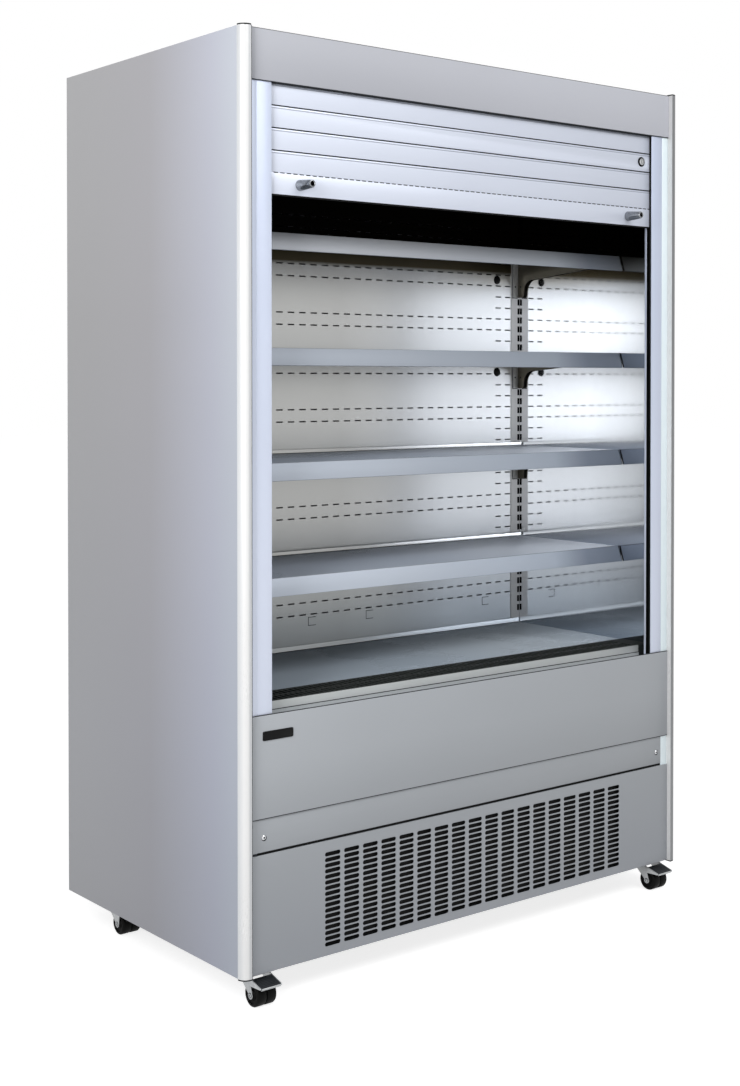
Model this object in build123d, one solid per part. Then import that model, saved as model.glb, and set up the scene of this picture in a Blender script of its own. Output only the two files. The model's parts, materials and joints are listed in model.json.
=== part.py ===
from build123d import *
import math
import os

# Open multideck display fridge: an insulated cabinet on four castors, with a roller shutter that
# rolls up behind the header, four shelves over a deck, and the cooling plant under the deck.
#
# The pieces are drawn in cabinet coordinates: x from the middle of the width, y back from the
# front faces of the covers, z up from the underside of the cabinet. save() moves them so that
# z = 0 is the floor and the origin is in the middle of the outer box.

# ---- Flats on the rounds that are not drawn as true circles ----
wheel_sides = 30
small_sides = 24
pin_sides = 12

# ---- Cabinet ----
body_width = 1330
body_depth = 736
body_height = 1942
end_wall_thickness = 39
liner_thickness = 1
panel_thickness = 40      # roof, rear wall, tub floor and tub front
rear_edge_radius = 4
sheet = 1.2               # folded sheet steel
tub_floor_height = 250    # from the underside to the tub floor
tub_depth = 232           # from the tub floor to the ledge that the shutter lands on
carcass_plane = 3         # jambs and trims lie this far behind the covers' faces

# ---- Corner profiles ----
profile_radius = 19
profile_joint = 7.5       # where the profile meets the end wall
profile_width = 23
profile_wall = 2
cap_thickness = 3
trim_width = 22

# ---- Covers ----
cover_depth = 3
header_height = 105
kerb_height = 12          # the upper front panel stands this far above the ledge
upper_panel_height = 214
band_height = 69
grille_panel_height = 245
slot_rows = 17
slot_columns = 18
slot_length = 40
slot_height = 8
slot_pitch_x = 51.2
slot_pitch_z = 12
slot_field_base = 20
slot_field_offset = 8.2   # the field of slots is centred this far right of the middle

# ---- Roller shutter ----
jamb_width = 38
rail_wall = 2.5
rail_channel = 14.5
rail_bead = 4
rail_bead_depth = 3.5
rail_header_gap = 1
slat_pitch = 46.25
slat_thickness = 7
slat_count = 5
slat_end_clearance = 2
curtain_face = 12         # behind the covers' faces
shoulder_height = 9
shoulder_depth = 1.6
tongue_thickness = 2.4
tongue_height = 6.5
tongue_head = 1
tongue_head_height = 3
hook_clearance = 0.5
bar_height = 45.5
bar_wall = 1.5
bar_drop = 232            # the shutter's lower edge hangs this far below the header, when up
seal_height = 3
seal_stem = 1.6
shutter_clearance = 1.5   # from the knobs to the kerb when the shutter is shut
knob_base_radius = 12
knob_tip_radius = 8
knob_bore_radius = 5
knob_length = 45
knob_floor = 6
knob_inset = 112          # from the ends of the slats
knob_height = 25          # above the foot of the bottom bar
lock_radius = 12
lock_flange = 2
lock_depth = 14
keyway_width = 1.6
keyway_length = 8
keyway_depth = 6
lock_inset = 63           # from the end of its slat
lock_slat = 2             # counted up from the bottom bar
barrel_radius = 25
roll_radius = 55.7
roll_gap = 0.3
roll_end_inset = 15       # the roll is this much narrower than the curtain at each end
shaft_radius = 8
shaft_overhang = 2
running_clearance = 0.05
bracket_thickness = 3
bracket_inset = 16        # from the liner to the bracket's outer face

# ---- Canopy ----
housing_depth = 167
housing_height = 146
housing_front = 26.8
discharge_depth = 106
discharge_thickness = 20
plenum_height = 30        # the air's way forward over the ceiling
discharge_rows = 3
discharge_columns = 3
discharge_rim = 10
discharge_bar = 3
discharge_flange = 18

# ---- Display space ----
duct_plane = 525
deck_height = 548
deck_front = 143
deck_upstand = 12
deck_clearance = 2
shelf_first = 242
shelf_pitch = 251.5
shelf_count = 4
shelf_front = 150
shelf_back = 512
shelf_flange = 18
shelf_front_flange = 26
shelf_rear_upstand = 9
shelf_side_clearance = 4
rail_height = 38
rail_lean = 14
rail_sheet = 1.3
rail_hook = 9             # the rail's top lies this far back over the shelf
rail_gap = 0.3
bracket_arm_thickness = 3
bracket_arm_root = 92
bracket_arm_tip = 20
bracket_root_width = 16
bracket_root_depth = 14
bracket_bend_depth = 22   # the arm's lower edge turns forward here
bracket_curve_depth = 55
upright_width = 32
upright_gap = 0.3         # from the shelves' rear rims to the uprights
upright_wall = 1.5
hook_height = 12
hook_play = 0.4           # around a hook in its slot
hook_top = 18             # from the underside of the shelf to the upper hook
hook_reach = 6
hook_pitch = 45
bracket_front_inset = 14
lip_plane = 45
lip_end = 1
grille_front = 47.7
lip_grille_gap = 0.3
deck_step = 1             # the return grille stands this far above the deck
grille_back = 141.8
grille_thickness = 3
lip_groove = 5
lip_flange = 17
grille_leg = 12
grille_end = 15
return_rows = 2
return_columns = 14
return_slot = 34
return_web = 8

# ---- Cooling plant ----
frame_height = 20
frame_member = 40
frame_front_member = 30
gusset_size = 110
gusset_thickness = 4
post_size = 30
fan_plate_plane = 250
fan_opening = 90
fan_offset = 280
blade_gap = 5
blade_count = 5
blade_pitch = 35
blade_thickness = 1.5
blade_width = 26
blade_root = 2            # the blades run this far into the hub
hub_radius = 22
hub_length = 18
rotor_gap = 0.3
motor_size = 56
motor_length = 40
motor_bar = 24
motor_bar_thickness = 3
motor_bar_lap = 12
fan_plate_thickness = 1.5
coil_width = 1000
coil_depth = 200
coil_height = 130
coil_plane = 340
fin_count = 5
fin_thickness = 2
fin_depth = 10
compressor_radius = 75
compressor_height = 150
compressor_shoulder = 20
compressor_foot = 14
compressor_foot_lap = 15
condenser_width = 400
condenser_height = 190
condenser_depth = 66
condenser_plane = 45
condenser_fin_depth = 6
shroud_depth = 40
shroud_wall = 2
shroud_rim = 8
tray_depth = 190
tray_height = 40
tray_wall = 2
tray_inset = 60
box_width = 140
box_depth = 120
box_height = 150
box_front = 60
vent_rows = 3
vent_columns = 3
vent_width = 160
vent_height = 10
vent_pitch_x = 220
vent_pitch_z = 45

# ---- Castors ----
castor_height = 68
wheel_radius = 25
wheel_width = 24
wheel_gap = 1
castor_inset_x = 60       # from the side of the cabinet
castor_front = 37         # swivel axis, behind the covers' faces
castor_rear = 586
castor_trail = 25
castor_plate_size = 62
castor_plate_thickness = 3
castor_bridge_front = 18
castor_bridge_back = 20
race_radius = 20
race_height = 4
axle_radius = 4
fork_thickness = 2
fork_clearance = 0.3
fork_boss = 8
fork_nose = 6             # the legs reach this far past the pedal's pin
fork_arm = 26             # the front legs carry on this far, beside the pedal
fork_arm_drop = 3
fork_arm_height = 8
pedal_width = 48
pedal_length = 36
pedal_slope = 16
pedal_thickness = 2
pedal_lip = 5
pedal_pin_radius = 2
pedal_knuckle_radius = 4
pedal_pin_ahead = 5       # ahead of the axle
pedal_pin_drop = 5.5      # below the top of the fork

# ---- Places that follow from the sizes ----
half_width = body_width / 2
wall_face = half_width - end_wall_thickness
liner_face = wall_face - liner_thickness
cover_half = half_width - profile_width
trim_inner = cover_half - trim_width
jamb_inner = trim_inner - jamb_width
tub_top = tub_floor_height + panel_thickness
ledge = tub_top + tub_depth
upper_panel_top = ledge + kerb_height
header_base = body_height - header_height
rear_face = body_depth - panel_thickness
channel_front = carcass_plane + rail_wall
channel_back = channel_front + rail_channel
curtain_back = curtain_face + slat_thickness
slat_half = trim_inner - rail_wall - slat_end_clearance
knob_x = slat_half - knob_inset
lock_x = slat_half - lock_inset
knob_proud = knob_length - curtain_face
closed_foot = upper_panel_top + shutter_clearance + knob_base_radius - knob_height
bar_foot = header_base - bar_drop
bar_base = bar_foot + seal_height
bar_top = bar_base + bar_height
shutter_travel = bar_foot - closed_foot
roll_centre_y = curtain_back + roll_gap + roll_radius
housing_back = carcass_plane + housing_depth
housing_floor = body_height - housing_height
ceiling_height = housing_floor - plenum_height - discharge_thickness
roll_centre_z = housing_floor + housing_height / 2 - 6
wound_turns = (roll_radius - barrel_radius) / slat_thickness
axle_height = wheel_radius - castor_height
fork_top = -castor_plate_thickness - race_height - fork_clearance
fork_inner = wheel_width + wheel_gap / 2 + fork_clearance
pedal_pin_y = -castor_trail - pedal_pin_ahead
pedal_pin_z = fork_top - pedal_pin_drop
upright_front = shelf_back + sheet + upright_gap
upright_middle = liner_face - upright_gap - upright_width / 2
crossbar_x = wall_face / 3
origin_shift = Pos(0, (knob_proud - body_depth) / 2, castor_height)


def save(node, *solids):
    # One file for each piece, or for each group of like pieces
    export_step(Compound(children=[origin_shift * solid for solid in solids]), f"parts/{node}.step")


def block(x, y, z):
    # A block between pairs of limits
    middle = Pos((x[0] + x[1]) / 2, (y[0] + y[1]) / 2, (z[0] + z[1]) / 2)
    return middle * Box(x[1] - x[0], y[1] - y[0], z[1] - z[0])


def across(section, half):
    # A section drawn in y and z, drawn out along x to both sides of the middle
    return extrude(Plane.YZ * section, amount=half, both=True)


def upright_bar(section, z0, z1):
    # A section drawn in x and y, drawn out along z
    return extrude(Pos(0, 0, z0) * section, amount=z1 - z0)


def folded(*points, thickness=sheet):
    # The section of a sheet folded along the points, its thickness on the right of the path
    return make_face(offset(Polyline(*points), amount=thickness, side=Side.RIGHT, kind=Kind.INTERSECTION))


def polygon(*points):
    return make_face(Polyline(*points, close=True))


def rod(radius, start, end, sides=None):
    # A rod between two points on a line along x or y, round or with a number of flats
    section = RegularPolygon(radius, sides) if sides else Circle(radius)
    plane = Plane(start, x_dir=(0, 0, 1), z_dir=[b - a for a, b in zip(start, end)])
    return extrude(plane * section, amount=sum(abs(b - a) for a, b in zip(start, end)))


def bore_for(radius, clearance, sides):
    # The radius of a flat-sided bore that clears a pin all round
    return (radius + clearance) / math.cos(math.pi / sides)


def other_side(solid):
    return mirror(solid, about=Plane.YZ)


# ---- Cabinet shell ----
def end_wall():
    wall = block((wall_face, half_width), (profile_joint, body_depth), (0, body_height))
    rear_edge = wall.edges().filter_by(Axis.Z).sort_by(Axis.Y)[-2:].sort_by(Axis.X)[-1]
    return fillet(rear_edge, rear_edge_radius)


def corner_section():
    # A quarter round that runs into the side of the cabinet
    centre = (half_width - profile_radius, profile_joint)
    tip = profile_joint - profile_radius
    round_face = CenterArc(centre, profile_radius, -90, 90)
    inside = Polyline(
        (half_width, profile_joint),
        (cover_half, profile_joint),
        (cover_half, tip),
        (centre[0], tip),
    )
    return make_face([round_face, inside])


def corner_profile():
    section = corner_section()
    return upright_bar(section - offset(section, -profile_wall), 0, body_height)


def corner_cap(z, direction):
    return extrude(Pos(0, 0, z) * corner_section(), amount=direction * cap_thickness)


def edge_trim():
    return block((trim_inner, cover_half), (carcass_plane, profile_joint), (0, body_height))


def shell_pieces():
    save("end_wall_left", other_side(end_wall()))
    save("end_wall_right", end_wall())
    profile = corner_profile()
    save("corner_profiles", profile, other_side(profile))
    caps = [corner_cap(body_height, 1), corner_cap(0, -1)]
    save("corner_caps", *caps, *[other_side(cap) for cap in caps])
    save("edge_trims", edge_trim(), other_side(edge_trim()))
    liner = block((liner_face, wall_face), (profile_joint, rear_face), (tub_top, body_height))
    save("side_liners", liner, other_side(liner))
    across_inside = (-liner_face, liner_face)
    save("rear_wall", block(across_inside, (rear_face, body_depth), (tub_top, body_height - panel_thickness)))
    roof_z = (body_height - panel_thickness, body_height)
    save("roof_panel", block(across_inside, (housing_back, body_depth), roof_z))
    floor_z = (tub_floor_height, tub_top)
    save("tub_floor", block((-wall_face, wall_face), (profile_joint, body_depth), floor_z))
    save("tub_front", block(across_inside, (profile_joint, lip_plane), (tub_top, ledge)))


# ---- Covers ----
def cover(half, y, z):
    # A shallow tray of sheet with its rim turned back
    tray = block((-half, half), (y, y + cover_depth), z)
    inner_half = half - sheet
    inner_z = (z[0] + sheet, z[1] - sheet)
    return tray - block((-inner_half, inner_half), (y + sheet, y + cover_depth), inner_z)


def grille_panel():
    middle_z = slot_field_base + ((slot_rows - 1) * slot_pitch_z + slot_height) / 2
    places = GridLocations(slot_pitch_x, slot_pitch_z, slot_columns, slot_rows)
    slots = places * Rectangle(slot_length, slot_height)
    face = Plane((slot_field_offset, sheet, middle_z), x_dir=(1, 0, 0), z_dir=(0, -1, 0))
    cutter = extrude(face * Sketch(children=slots), amount=sheet)
    return cover(cover_half, 0, (0, grille_panel_height)) - cutter


def cover_pieces():
    save("header_fascia", cover(cover_half, 0, (header_base, body_height)))
    save("front_panel", cover(cover_half, 0, (upper_panel_top - upper_panel_height, upper_panel_top)))
    band_z = (tub_floor_height, tub_floor_height + band_height)
    save("service_band", block((-trim_inner, trim_inner), (carcass_plane, profile_joint), band_z))
    save("grille_panel", grille_panel())


# ---- Roller shutter ----
def guide_rail():
    # Front leg, which is the jamb, outer web, rear leg with a bead along its edge. The bead ends
    # under the canopy, clear of the roll.
    rear = channel_back + rail_wall
    section = polygon(
        (jamb_inner, carcass_plane),
        (trim_inner, carcass_plane),
        (trim_inner, channel_back),
        (liner_face, channel_back),
        (liner_face, rear),
        (jamb_inner, rear),
        (jamb_inner, channel_back),
        (trim_inner - rail_wall, channel_back),
        (trim_inner - rail_wall, channel_front),
        (jamb_inner, channel_front),
    )
    rail = upright_bar(section, ledge, header_base - rail_header_gap)
    bead_y = (rear, rear + rail_bead_depth)
    return rail + block((jamb_inner, jamb_inner + rail_bead), bead_y, (ledge, housing_floor))


def slat_section(base):
    # The tongue on top hooks into the groove of the slat above
    top = base + slat_pitch - hook_clearance
    tongue_front = curtain_face + 2.5
    tongue_back = tongue_front + tongue_thickness
    head_back = tongue_back + tongue_head
    tip = base + slat_pitch + tongue_height
    head = tip - tongue_head_height
    groove_front = tongue_front - hook_clearance
    mouth_back = tongue_back + hook_clearance
    pocket_back = head_back + hook_clearance
    mouth = head - slat_pitch - hook_clearance
    roof = base + tongue_height + hook_clearance
    shoulder = ThreePointArc(
        (curtain_face, top - shoulder_height),
        (curtain_face + shoulder_depth * 0.3, top - shoulder_height * 0.4),
        (curtain_face + shoulder_depth, top),
    )
    outline = Polyline(
        (curtain_face + shoulder_depth, top),
        (tongue_front, top),
        (tongue_front, tip),
        (head_back, tip),
        (head_back, head),
        (tongue_back, head),
        (tongue_back, top),
        (curtain_back, top),
        (curtain_back, base),
        (mouth_back, base),
        (mouth_back, mouth),
        (pocket_back, mouth),
        (pocket_back, roof),
        (groove_front, roof),
        (groove_front, base),
        (curtain_face, base),
        (curtain_face, top - shoulder_height),
    )
    return make_face([shoulder, outline])


def bar_section():
    # A hollow bar with the slats' tongue on top and a slot for the seal underneath
    tongue_front = curtain_face + 2.5
    tongue_back = tongue_front + tongue_thickness
    tip = bar_top + tongue_height
    head = tip - tongue_head_height
    middle = curtain_face + slat_thickness / 2
    slot_half = seal_stem / 2 + 0.1
    slot_top = bar_base + seal_height + 1
    outer = polygon(
        (curtain_face, bar_base),
        (curtain_face, bar_top - hook_clearance),
        (tongue_front, bar_top - hook_clearance),
        (tongue_front, tip),
        (tongue_back + tongue_head, tip),
        (tongue_back + tongue_head, head),
        (tongue_back, head),
        (tongue_back, bar_top - hook_clearance),
        (curtain_back, bar_top - hook_clearance),
        (curtain_back, bar_base),
        (middle + slot_half, bar_base),
        (middle + slot_half, slot_top),
        (middle - slot_half, slot_top),
        (middle - slot_half, bar_base),
    )
    hollow_z = (slot_top + bar_wall, bar_top - hook_clearance - bar_wall)
    hollow_size = (slat_thickness - 2 * bar_wall, hollow_z[1] - hollow_z[0])
    return outer - Pos(middle, sum(hollow_z) / 2) * Rectangle(*hollow_size)


def seal_section():
    middle = curtain_face + slat_thickness / 2
    half = slat_thickness / 2 - 0.5
    return polygon(
        (middle - half + 1, bar_foot),
        (middle + half - 1, bar_foot),
        (middle + half, bar_base),
        (middle + seal_stem / 2, bar_base),
        (middle + seal_stem / 2, bar_base + seal_height),
        (middle - seal_stem / 2, bar_base + seal_height),
        (middle - seal_stem / 2, bar_base),
        (middle - half, bar_base),
    )


def knob(x):
    # A tapered, hollow pull knob
    taper = math.degrees(math.atan((knob_base_radius - knob_tip_radius) / knob_length))
    cone = extrude(RegularPolygon(knob_base_radius, small_sides), amount=knob_length, taper=taper)
    bore = Pos(0, 0, knob_floor) * RegularPolygon(knob_bore_radius, pin_sides)
    cone -= extrude(bore, amount=knob_length)
    return Pos(x, curtain_face, bar_foot + knob_height) * Rotation(90, 0, 0) * cone


def shutter_pieces():
    save("guide_rails", guide_rail(), other_side(guide_rail()))
    slats = [across(slat_section(bar_top + i * slat_pitch), slat_half) for i in range(slat_count)]
    lock_z = bar_top + (lock_slat + 0.5) * slat_pitch
    lock_y = (curtain_face - lock_flange, curtain_face - lock_flange + lock_depth)
    lock_ends = (lock_x, lock_y[0], lock_z), (lock_x, lock_y[1], lock_z)
    case = rod(lock_radius, *lock_ends, small_sides)
    slats[lock_slat] -= case
    save("shutter_slats", *slats)
    save("bottom_bar", across(bar_section(), slat_half))
    save("bottom_seal", across(seal_section(), slat_half))
    save("shutter_knobs", knob(-knob_x), knob(knob_x))

    # The lock's case stands a little proud of its slat, and the lock's barrel turns in it
    plug_radius = lock_radius / 2
    case -= rod(bore_for(plug_radius, running_clearance, small_sides), *lock_ends, small_sides)
    save("lock_case", case)
    keyway = block(
        (lock_x - keyway_width / 2, lock_x + keyway_width / 2),
        (lock_y[0], lock_y[0] + keyway_depth),
        (lock_z - keyway_length / 2, lock_z + keyway_length / 2),
    )
    save("lock_barrel", rod(plug_radius, *lock_ends, small_sides) - keyway)

    # The barrel behind the header, with the rest of the curtain wound on it
    roll_half = slat_half - roll_end_inset
    shaft_half = liner_face - bracket_inset + shaft_overhang
    centre = (roll_centre_y, roll_centre_z)
    barrel = rod(barrel_radius, (-roll_half, *centre), (roll_half, *centre), small_sides)
    barrel += rod(shaft_radius, (-shaft_half, *centre), (shaft_half, *centre))
    save("shutter_barrel", barrel)
    wound = rod(roll_radius, (-roll_half, *centre), (roll_half, *centre), wheel_sides)
    core = rod(barrel_radius, (-roll_half, *centre), (roll_half, *centre), small_sides)
    save("shutter_roll", wound - core)


def barrel_bracket():
    # A plate that carries the barrel's shaft, with a foot turned out along the housing's back
    outer = liner_face - bracket_inset
    y = (housing_front + bracket_thickness, housing_back - sheet)
    z = (housing_floor + sheet, body_height - sheet)
    plate = block((outer - bracket_thickness, outer), y, z)
    plate += block((outer, liner_face), (y[1] - bracket_thickness, y[1]), z)
    bore_ends = (0, roll_centre_y, roll_centre_z), (half_width, roll_centre_y, roll_centre_z)
    return plate - rod(bore_for(shaft_radius, running_clearance, small_sides), *bore_ends, small_sides)


# ---- Canopy ----
def discharge_strips(front, back):
    # An egg-crate of strips along the opening, with short ribs from strip to strip
    z = (ceiling_height, ceiling_height + discharge_thickness)
    field_front = front + discharge_flange
    pitch_x = 2 * liner_face / discharge_columns
    pitch_y = (back - discharge_rim - field_front) / discharge_rows
    strips = []
    for row in range(discharge_rows):
        cell_front = field_front + row * pitch_y + discharge_bar / 2
        cell_back = cell_front + pitch_y - discharge_bar
        strips.append(block((-liner_face, liner_face), (front, cell_front), z))
        for column in range(discharge_columns + 1):
            middle = -liner_face + column * pitch_x
            low = max(middle - discharge_rim / 2, -liner_face)
            high = min(middle + discharge_rim / 2, liner_face)
            strips.append(block((low, high), (cell_front, cell_back), z))
        front = cell_back
    strips.append(block((-liner_face, liner_face), (front, back), z))
    return strips


def canopy_pieces():
    # The housing around the roll, with a wall that drops in front of the ceiling
    drop = housing_front + sheet
    section = folded(
        (profile_joint, body_height),
        (housing_back, body_height),
        (housing_back, housing_floor),
        (drop, housing_floor),
        (drop, ceiling_height),
        (drop + discharge_flange, ceiling_height),
    )
    housing = across(section, liner_face)
    top_z = (body_height - sheet, body_height)
    housing += block((-trim_inner, trim_inner), (carcass_plane, profile_joint), top_z)
    save("shutter_housing", housing, barrel_bracket(), other_side(barrel_bracket()))

    discharge_back = drop + discharge_depth
    discharge_top = ceiling_height + discharge_thickness
    ceiling = folded(
        (duct_plane + sheet, ceiling_height),
        (discharge_back, ceiling_height),
        (discharge_back, discharge_top),
    )
    save("ceiling_panel", across(ceiling, liner_face))
    save("air_discharge_grille", *discharge_strips(drop, discharge_back))


# ---- Display space ----
def shelf_height(level):
    return deck_height + shelf_first + level * shelf_pitch


def shelf(level):
    # A folded pan with a rim turned down at the front and the sides, and up at the back. The
    # front edge is let down by the thickness of the price rail that hooks over it.
    z = shelf_height(level)
    half = liner_face - shelf_side_clearance
    step = shelf_front + rail_hook + rail_gap
    pan = folded(
        (shelf_front, z - shelf_front_flange),
        (shelf_front, z - rail_sheet),
        (step, z - rail_sheet),
        (step, z),
        (shelf_back, z),
        (shelf_back, z + shelf_rear_upstand),
    )
    tray = across(pan, half)
    rim = polygon(
        (shelf_front, z - shelf_flange),
        (shelf_front, z - rail_sheet),
        (step, z - rail_sheet),
        (step, z),
        (shelf_back - sheet, z),
        (shelf_back - sheet, z - shelf_flange),
    )
    right_rim = extrude(Plane.YZ.offset(half - sheet) * rim, amount=sheet)
    return tray + right_rim + other_side(right_rim)


def price_rail(level):
    # A leaning strip that hooks over the front edge of its shelf, flush with the shelf's top
    z = shelf_height(level)
    foot = (shelf_front - rail_lean, z - rail_height)
    section = folded(
        (foot[0] + 4, foot[1] - 1),
        foot,
        (shelf_front - 1, z),
        (shelf_front + rail_hook, z),
        thickness=rail_sheet,
    )
    return across(section, liner_face - shelf_side_clearance)


def shelf_bracket(level):
    # A tapering arm under the end of the shelf, with two hooks in the upright and its root turned
    # out over the upright's face
    top = shelf_height(level) - sheet
    arm = polygon(
        (upright_front - bracket_root_depth, top - bracket_arm_root),
        (upright_front - bracket_bend_depth, top - bracket_arm_root * 0.66),
        (upright_front - bracket_curve_depth, top - bracket_arm_root * 0.48),
        (shelf_front + 2 * bracket_front_inset, top - bracket_arm_tip),
        (shelf_front + bracket_front_inset, top),
        (upright_front, top),
        (upright_front, top - bracket_arm_root),
    )
    for z in hook_heights(level):
        arm += Pos(upright_front + hook_reach / 2, z) * Rectangle(hook_reach, hook_height)
    inner = upright_middle - bracket_arm_thickness / 2
    root_y = (upright_front - bracket_arm_thickness, upright_front)
    root = block((inner - bracket_root_width, inner), root_y, (top - bracket_arm_root, top))
    return root + extrude(Plane.YZ.offset(inner) * arm, amount=bracket_arm_thickness)


def hook_heights(level):
    upper = shelf_height(level) - sheet - hook_top - hook_height / 2
    return [upper, upper - hook_pitch]


def shelf_upright():
    # A channel with its open side to the rear and a column of slots for the brackets' hooks
    outer = liner_face - upright_gap
    inner = outer - upright_width
    z = (deck_height + deck_upstand, ceiling_height)
    bar = block((inner, outer), (upright_front, duct_plane), z)
    bar -= block((inner + upright_wall, outer - upright_wall), (upright_front + upright_wall, duct_plane), z)
    slot_half_x = bracket_arm_thickness / 2 + hook_play
    slot_half_z = hook_height / 2 + hook_play
    for level in range(shelf_count):
        for slot_z in hook_heights(level):
            bar -= block(
                (upright_middle - slot_half_x, upright_middle + slot_half_x),
                (upright_front, upright_front + upright_wall),
                (slot_z - slot_half_z, slot_z + slot_half_z),
            )
    return bar


def display_pieces():
    for level in range(shelf_count):
        save(f"shelf_{level + 1}", shelf(level))
    save("price_rails", *[price_rail(level) for level in range(shelf_count)])
    brackets = [shelf_bracket(level) for level in range(shelf_count)]
    save("shelf_brackets", *brackets, *[other_side(bracket) for bracket in brackets])
    save("shelf_uprights", shelf_upright(), other_side(shelf_upright()))

    # Rear duct panel, with a strip behind each of its ends that closes the duct to the rear wall
    panel_z = (deck_height - deck_upstand, ceiling_height)
    panel = block((-liner_face, liner_face), (duct_plane, duct_plane + sheet), panel_z)
    strip = block((liner_face - sheet, liner_face), (duct_plane + sheet, rear_face), panel_z)
    save("duct_panel", panel, strip, other_side(strip))

    deck_back = duct_plane - deck_clearance
    deck = folded(
        (deck_front, deck_height - shelf_flange),
        (deck_front, deck_height),
        (deck_back, deck_height),
        (deck_back, deck_height + deck_upstand),
    )
    save("deck_pan", across(deck, liner_face - deck_clearance))
    return_pieces()


def return_pieces():
    # Front lip of the air return, standing on the ledge behind the kerb, with the grille on it
    lip_top = deck_height + deck_step
    seat = lip_top - grille_thickness
    lip = polygon(
        (lip_plane - deck_step, ledge),
        (lip_plane - deck_step, ledge + lip_groove - deck_step),
        (lip_plane, ledge + lip_groove),
        (lip_plane, lip_top),
        (grille_front - lip_grille_gap, lip_top),
        (grille_front - lip_grille_gap, seat),
        (lip_plane + lip_flange, seat),
        (lip_plane + lip_flange, seat - sheet),
        (lip_plane + sheet, seat - sheet),
        (lip_plane + sheet, ledge),
    )
    lip_half = jamb_inner + lip_end
    save("front_lip", across(lip, lip_half))

    grille = block((-liner_face, liner_face), (grille_front, grille_back), (seat, lip_top))
    pitch_x = 2 * (liner_face - grille_end) / return_columns
    pitch_y = (grille_back - grille_front - return_web) / return_rows
    places = GridLocations(pitch_x, pitch_y, return_columns, return_rows)
    slots = places * Rectangle(return_slot, pitch_y - return_web)
    middle = Pos(0, (grille_front + grille_back) / 2, seat)
    grille -= extrude(middle * Sketch(children=slots), amount=grille_thickness)
    for side in (-1, 1):
        leg = sorted((side * (lip_half + lip_end), side * liner_face))
        grille += block(leg, (grille_front, grille_front + grille_leg), (ledge, seat))
    save("return_grille", grille)


# ---- Cooling plant ----
def impeller(radius):
    # The motor's outer rotor is the hub, with pitched blades around it, turning about y
    fan = rod(hub_radius, (0, 0, 0), (0, hub_length, 0), 2 * blade_count)
    inner = hub_radius - blade_root
    outer = radius - blade_gap
    blade = Box(outer - inner, blade_width, blade_thickness)
    pitched = Pos((inner + outer) / 2, hub_length / 2, 0) * Rotation(90 - blade_pitch, 0, 0) * blade
    for i in range(blade_count):
        fan += Rotation(0, (i + 0.5) * 360 / blade_count, 0) * pitched
    return fan


def fan_motor(radius):
    # The stator, just behind its rotor, on a bar that crosses the fan's opening
    reach = radius + motor_bar_lap
    half = motor_size / 2
    bar_y = (hub_length + rotor_gap, hub_length + rotor_gap + motor_bar_thickness)
    bar = block((-reach, reach), bar_y, (-motor_bar / 2, motor_bar / 2))
    return bar + block((-half, half), (bar_y[1], bar_y[1] + motor_length), (-half, half))


def plate_with_openings(x, y, z, centres, radius):
    plate = block(x, y, z)
    for centre_x, centre_z in centres:
        plate -= rod(radius, (centre_x, y[0], centre_z), (centre_x, y[1], centre_z), wheel_sides)
    return plate


def finned_coil(x, y, z, inset):
    # A core with plates across it
    coil = block(x, (y[0] + inset, y[1] - inset), (z[0] + inset, z[1] - inset))
    pitch = (x[1] - x[0] - fin_thickness) / (fin_count - 1)
    for i in range(fin_count):
        coil += block((x[0] + i * pitch, x[0] + i * pitch + fin_thickness), y, z)
    return coil


def tub_pieces():
    # Fan plate and evaporator in the tub under the deck
    fan_z = (tub_top + deck_height) / 2
    plate_y = (fan_plate_plane, fan_plate_plane + fan_plate_thickness)
    centres = [(-fan_offset, fan_z), (fan_offset, fan_z)]
    plate_z = (tub_top, deck_height - sheet)
    plate = plate_with_openings((-liner_face, liner_face), plate_y, plate_z, centres, fan_opening)
    hub_y = plate_y[1] - hub_length - rotor_gap
    motor = fan_motor(fan_opening)
    save("evaporator_fan_plate", plate, *[Pos(x, hub_y, z) * motor for x, z in centres])
    for name, (x, z) in zip(("left", "right"), centres):
        save(f"evaporator_fan_{name}", Pos(x, hub_y, z) * impeller(fan_opening))

    coil_x = (-coil_width / 2, coil_width / 2)
    coil_y = (coil_plane, coil_plane + coil_depth)
    save("evaporator_coil", finned_coil(coil_x, coil_y, (tub_top, tub_top + coil_height), fin_depth))


def base_frame():
    # Side members, crossbars, corner posts up to the tub floor and gussets over the castors
    half = wall_face
    front = profile_joint
    back = body_depth - sheet
    inner_y = (front + frame_front_member, back - frame_member)
    frame = block((-half, half), (front, back), (0, frame_height))
    frame -= block((frame_member - half, half - frame_member), inner_y, (0, frame_height))
    for x in (-crossbar_x, crossbar_x):
        frame += block((x - frame_member / 2, x + frame_member / 2), inner_y, (0, frame_height))
    for side in (-1, 1):
        post_x = sorted((side * (half - post_size), side * half))
        gusset_x = sorted((side * (half - gusset_size), side * half))
        for y in (front, back - post_size):
            frame += block(post_x, (y, y + post_size), (0, tub_floor_height))
        for y in (castor_front, castor_rear):
            gusset_y = (max(front, y - gusset_size / 2), y + gusset_size / 2)
            frame += block(gusset_x, gusset_y, (0, gusset_thickness))
    return frame


def compressor():
    # A sealed can with a narrower crown, on a foot plate
    can = extrude(RegularPolygon(compressor_radius, small_sides), amount=compressor_height)
    crown = RegularPolygon(compressor_radius - compressor_shoulder, small_sides)
    can += extrude(crown, amount=compressor_height + compressor_shoulder)
    foot_width = 2 * (compressor_radius + compressor_foot_lap)
    return can + Pos(0, 0, -compressor_foot / 2) * Box(foot_width, 2 * compressor_radius, compressor_foot)


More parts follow.
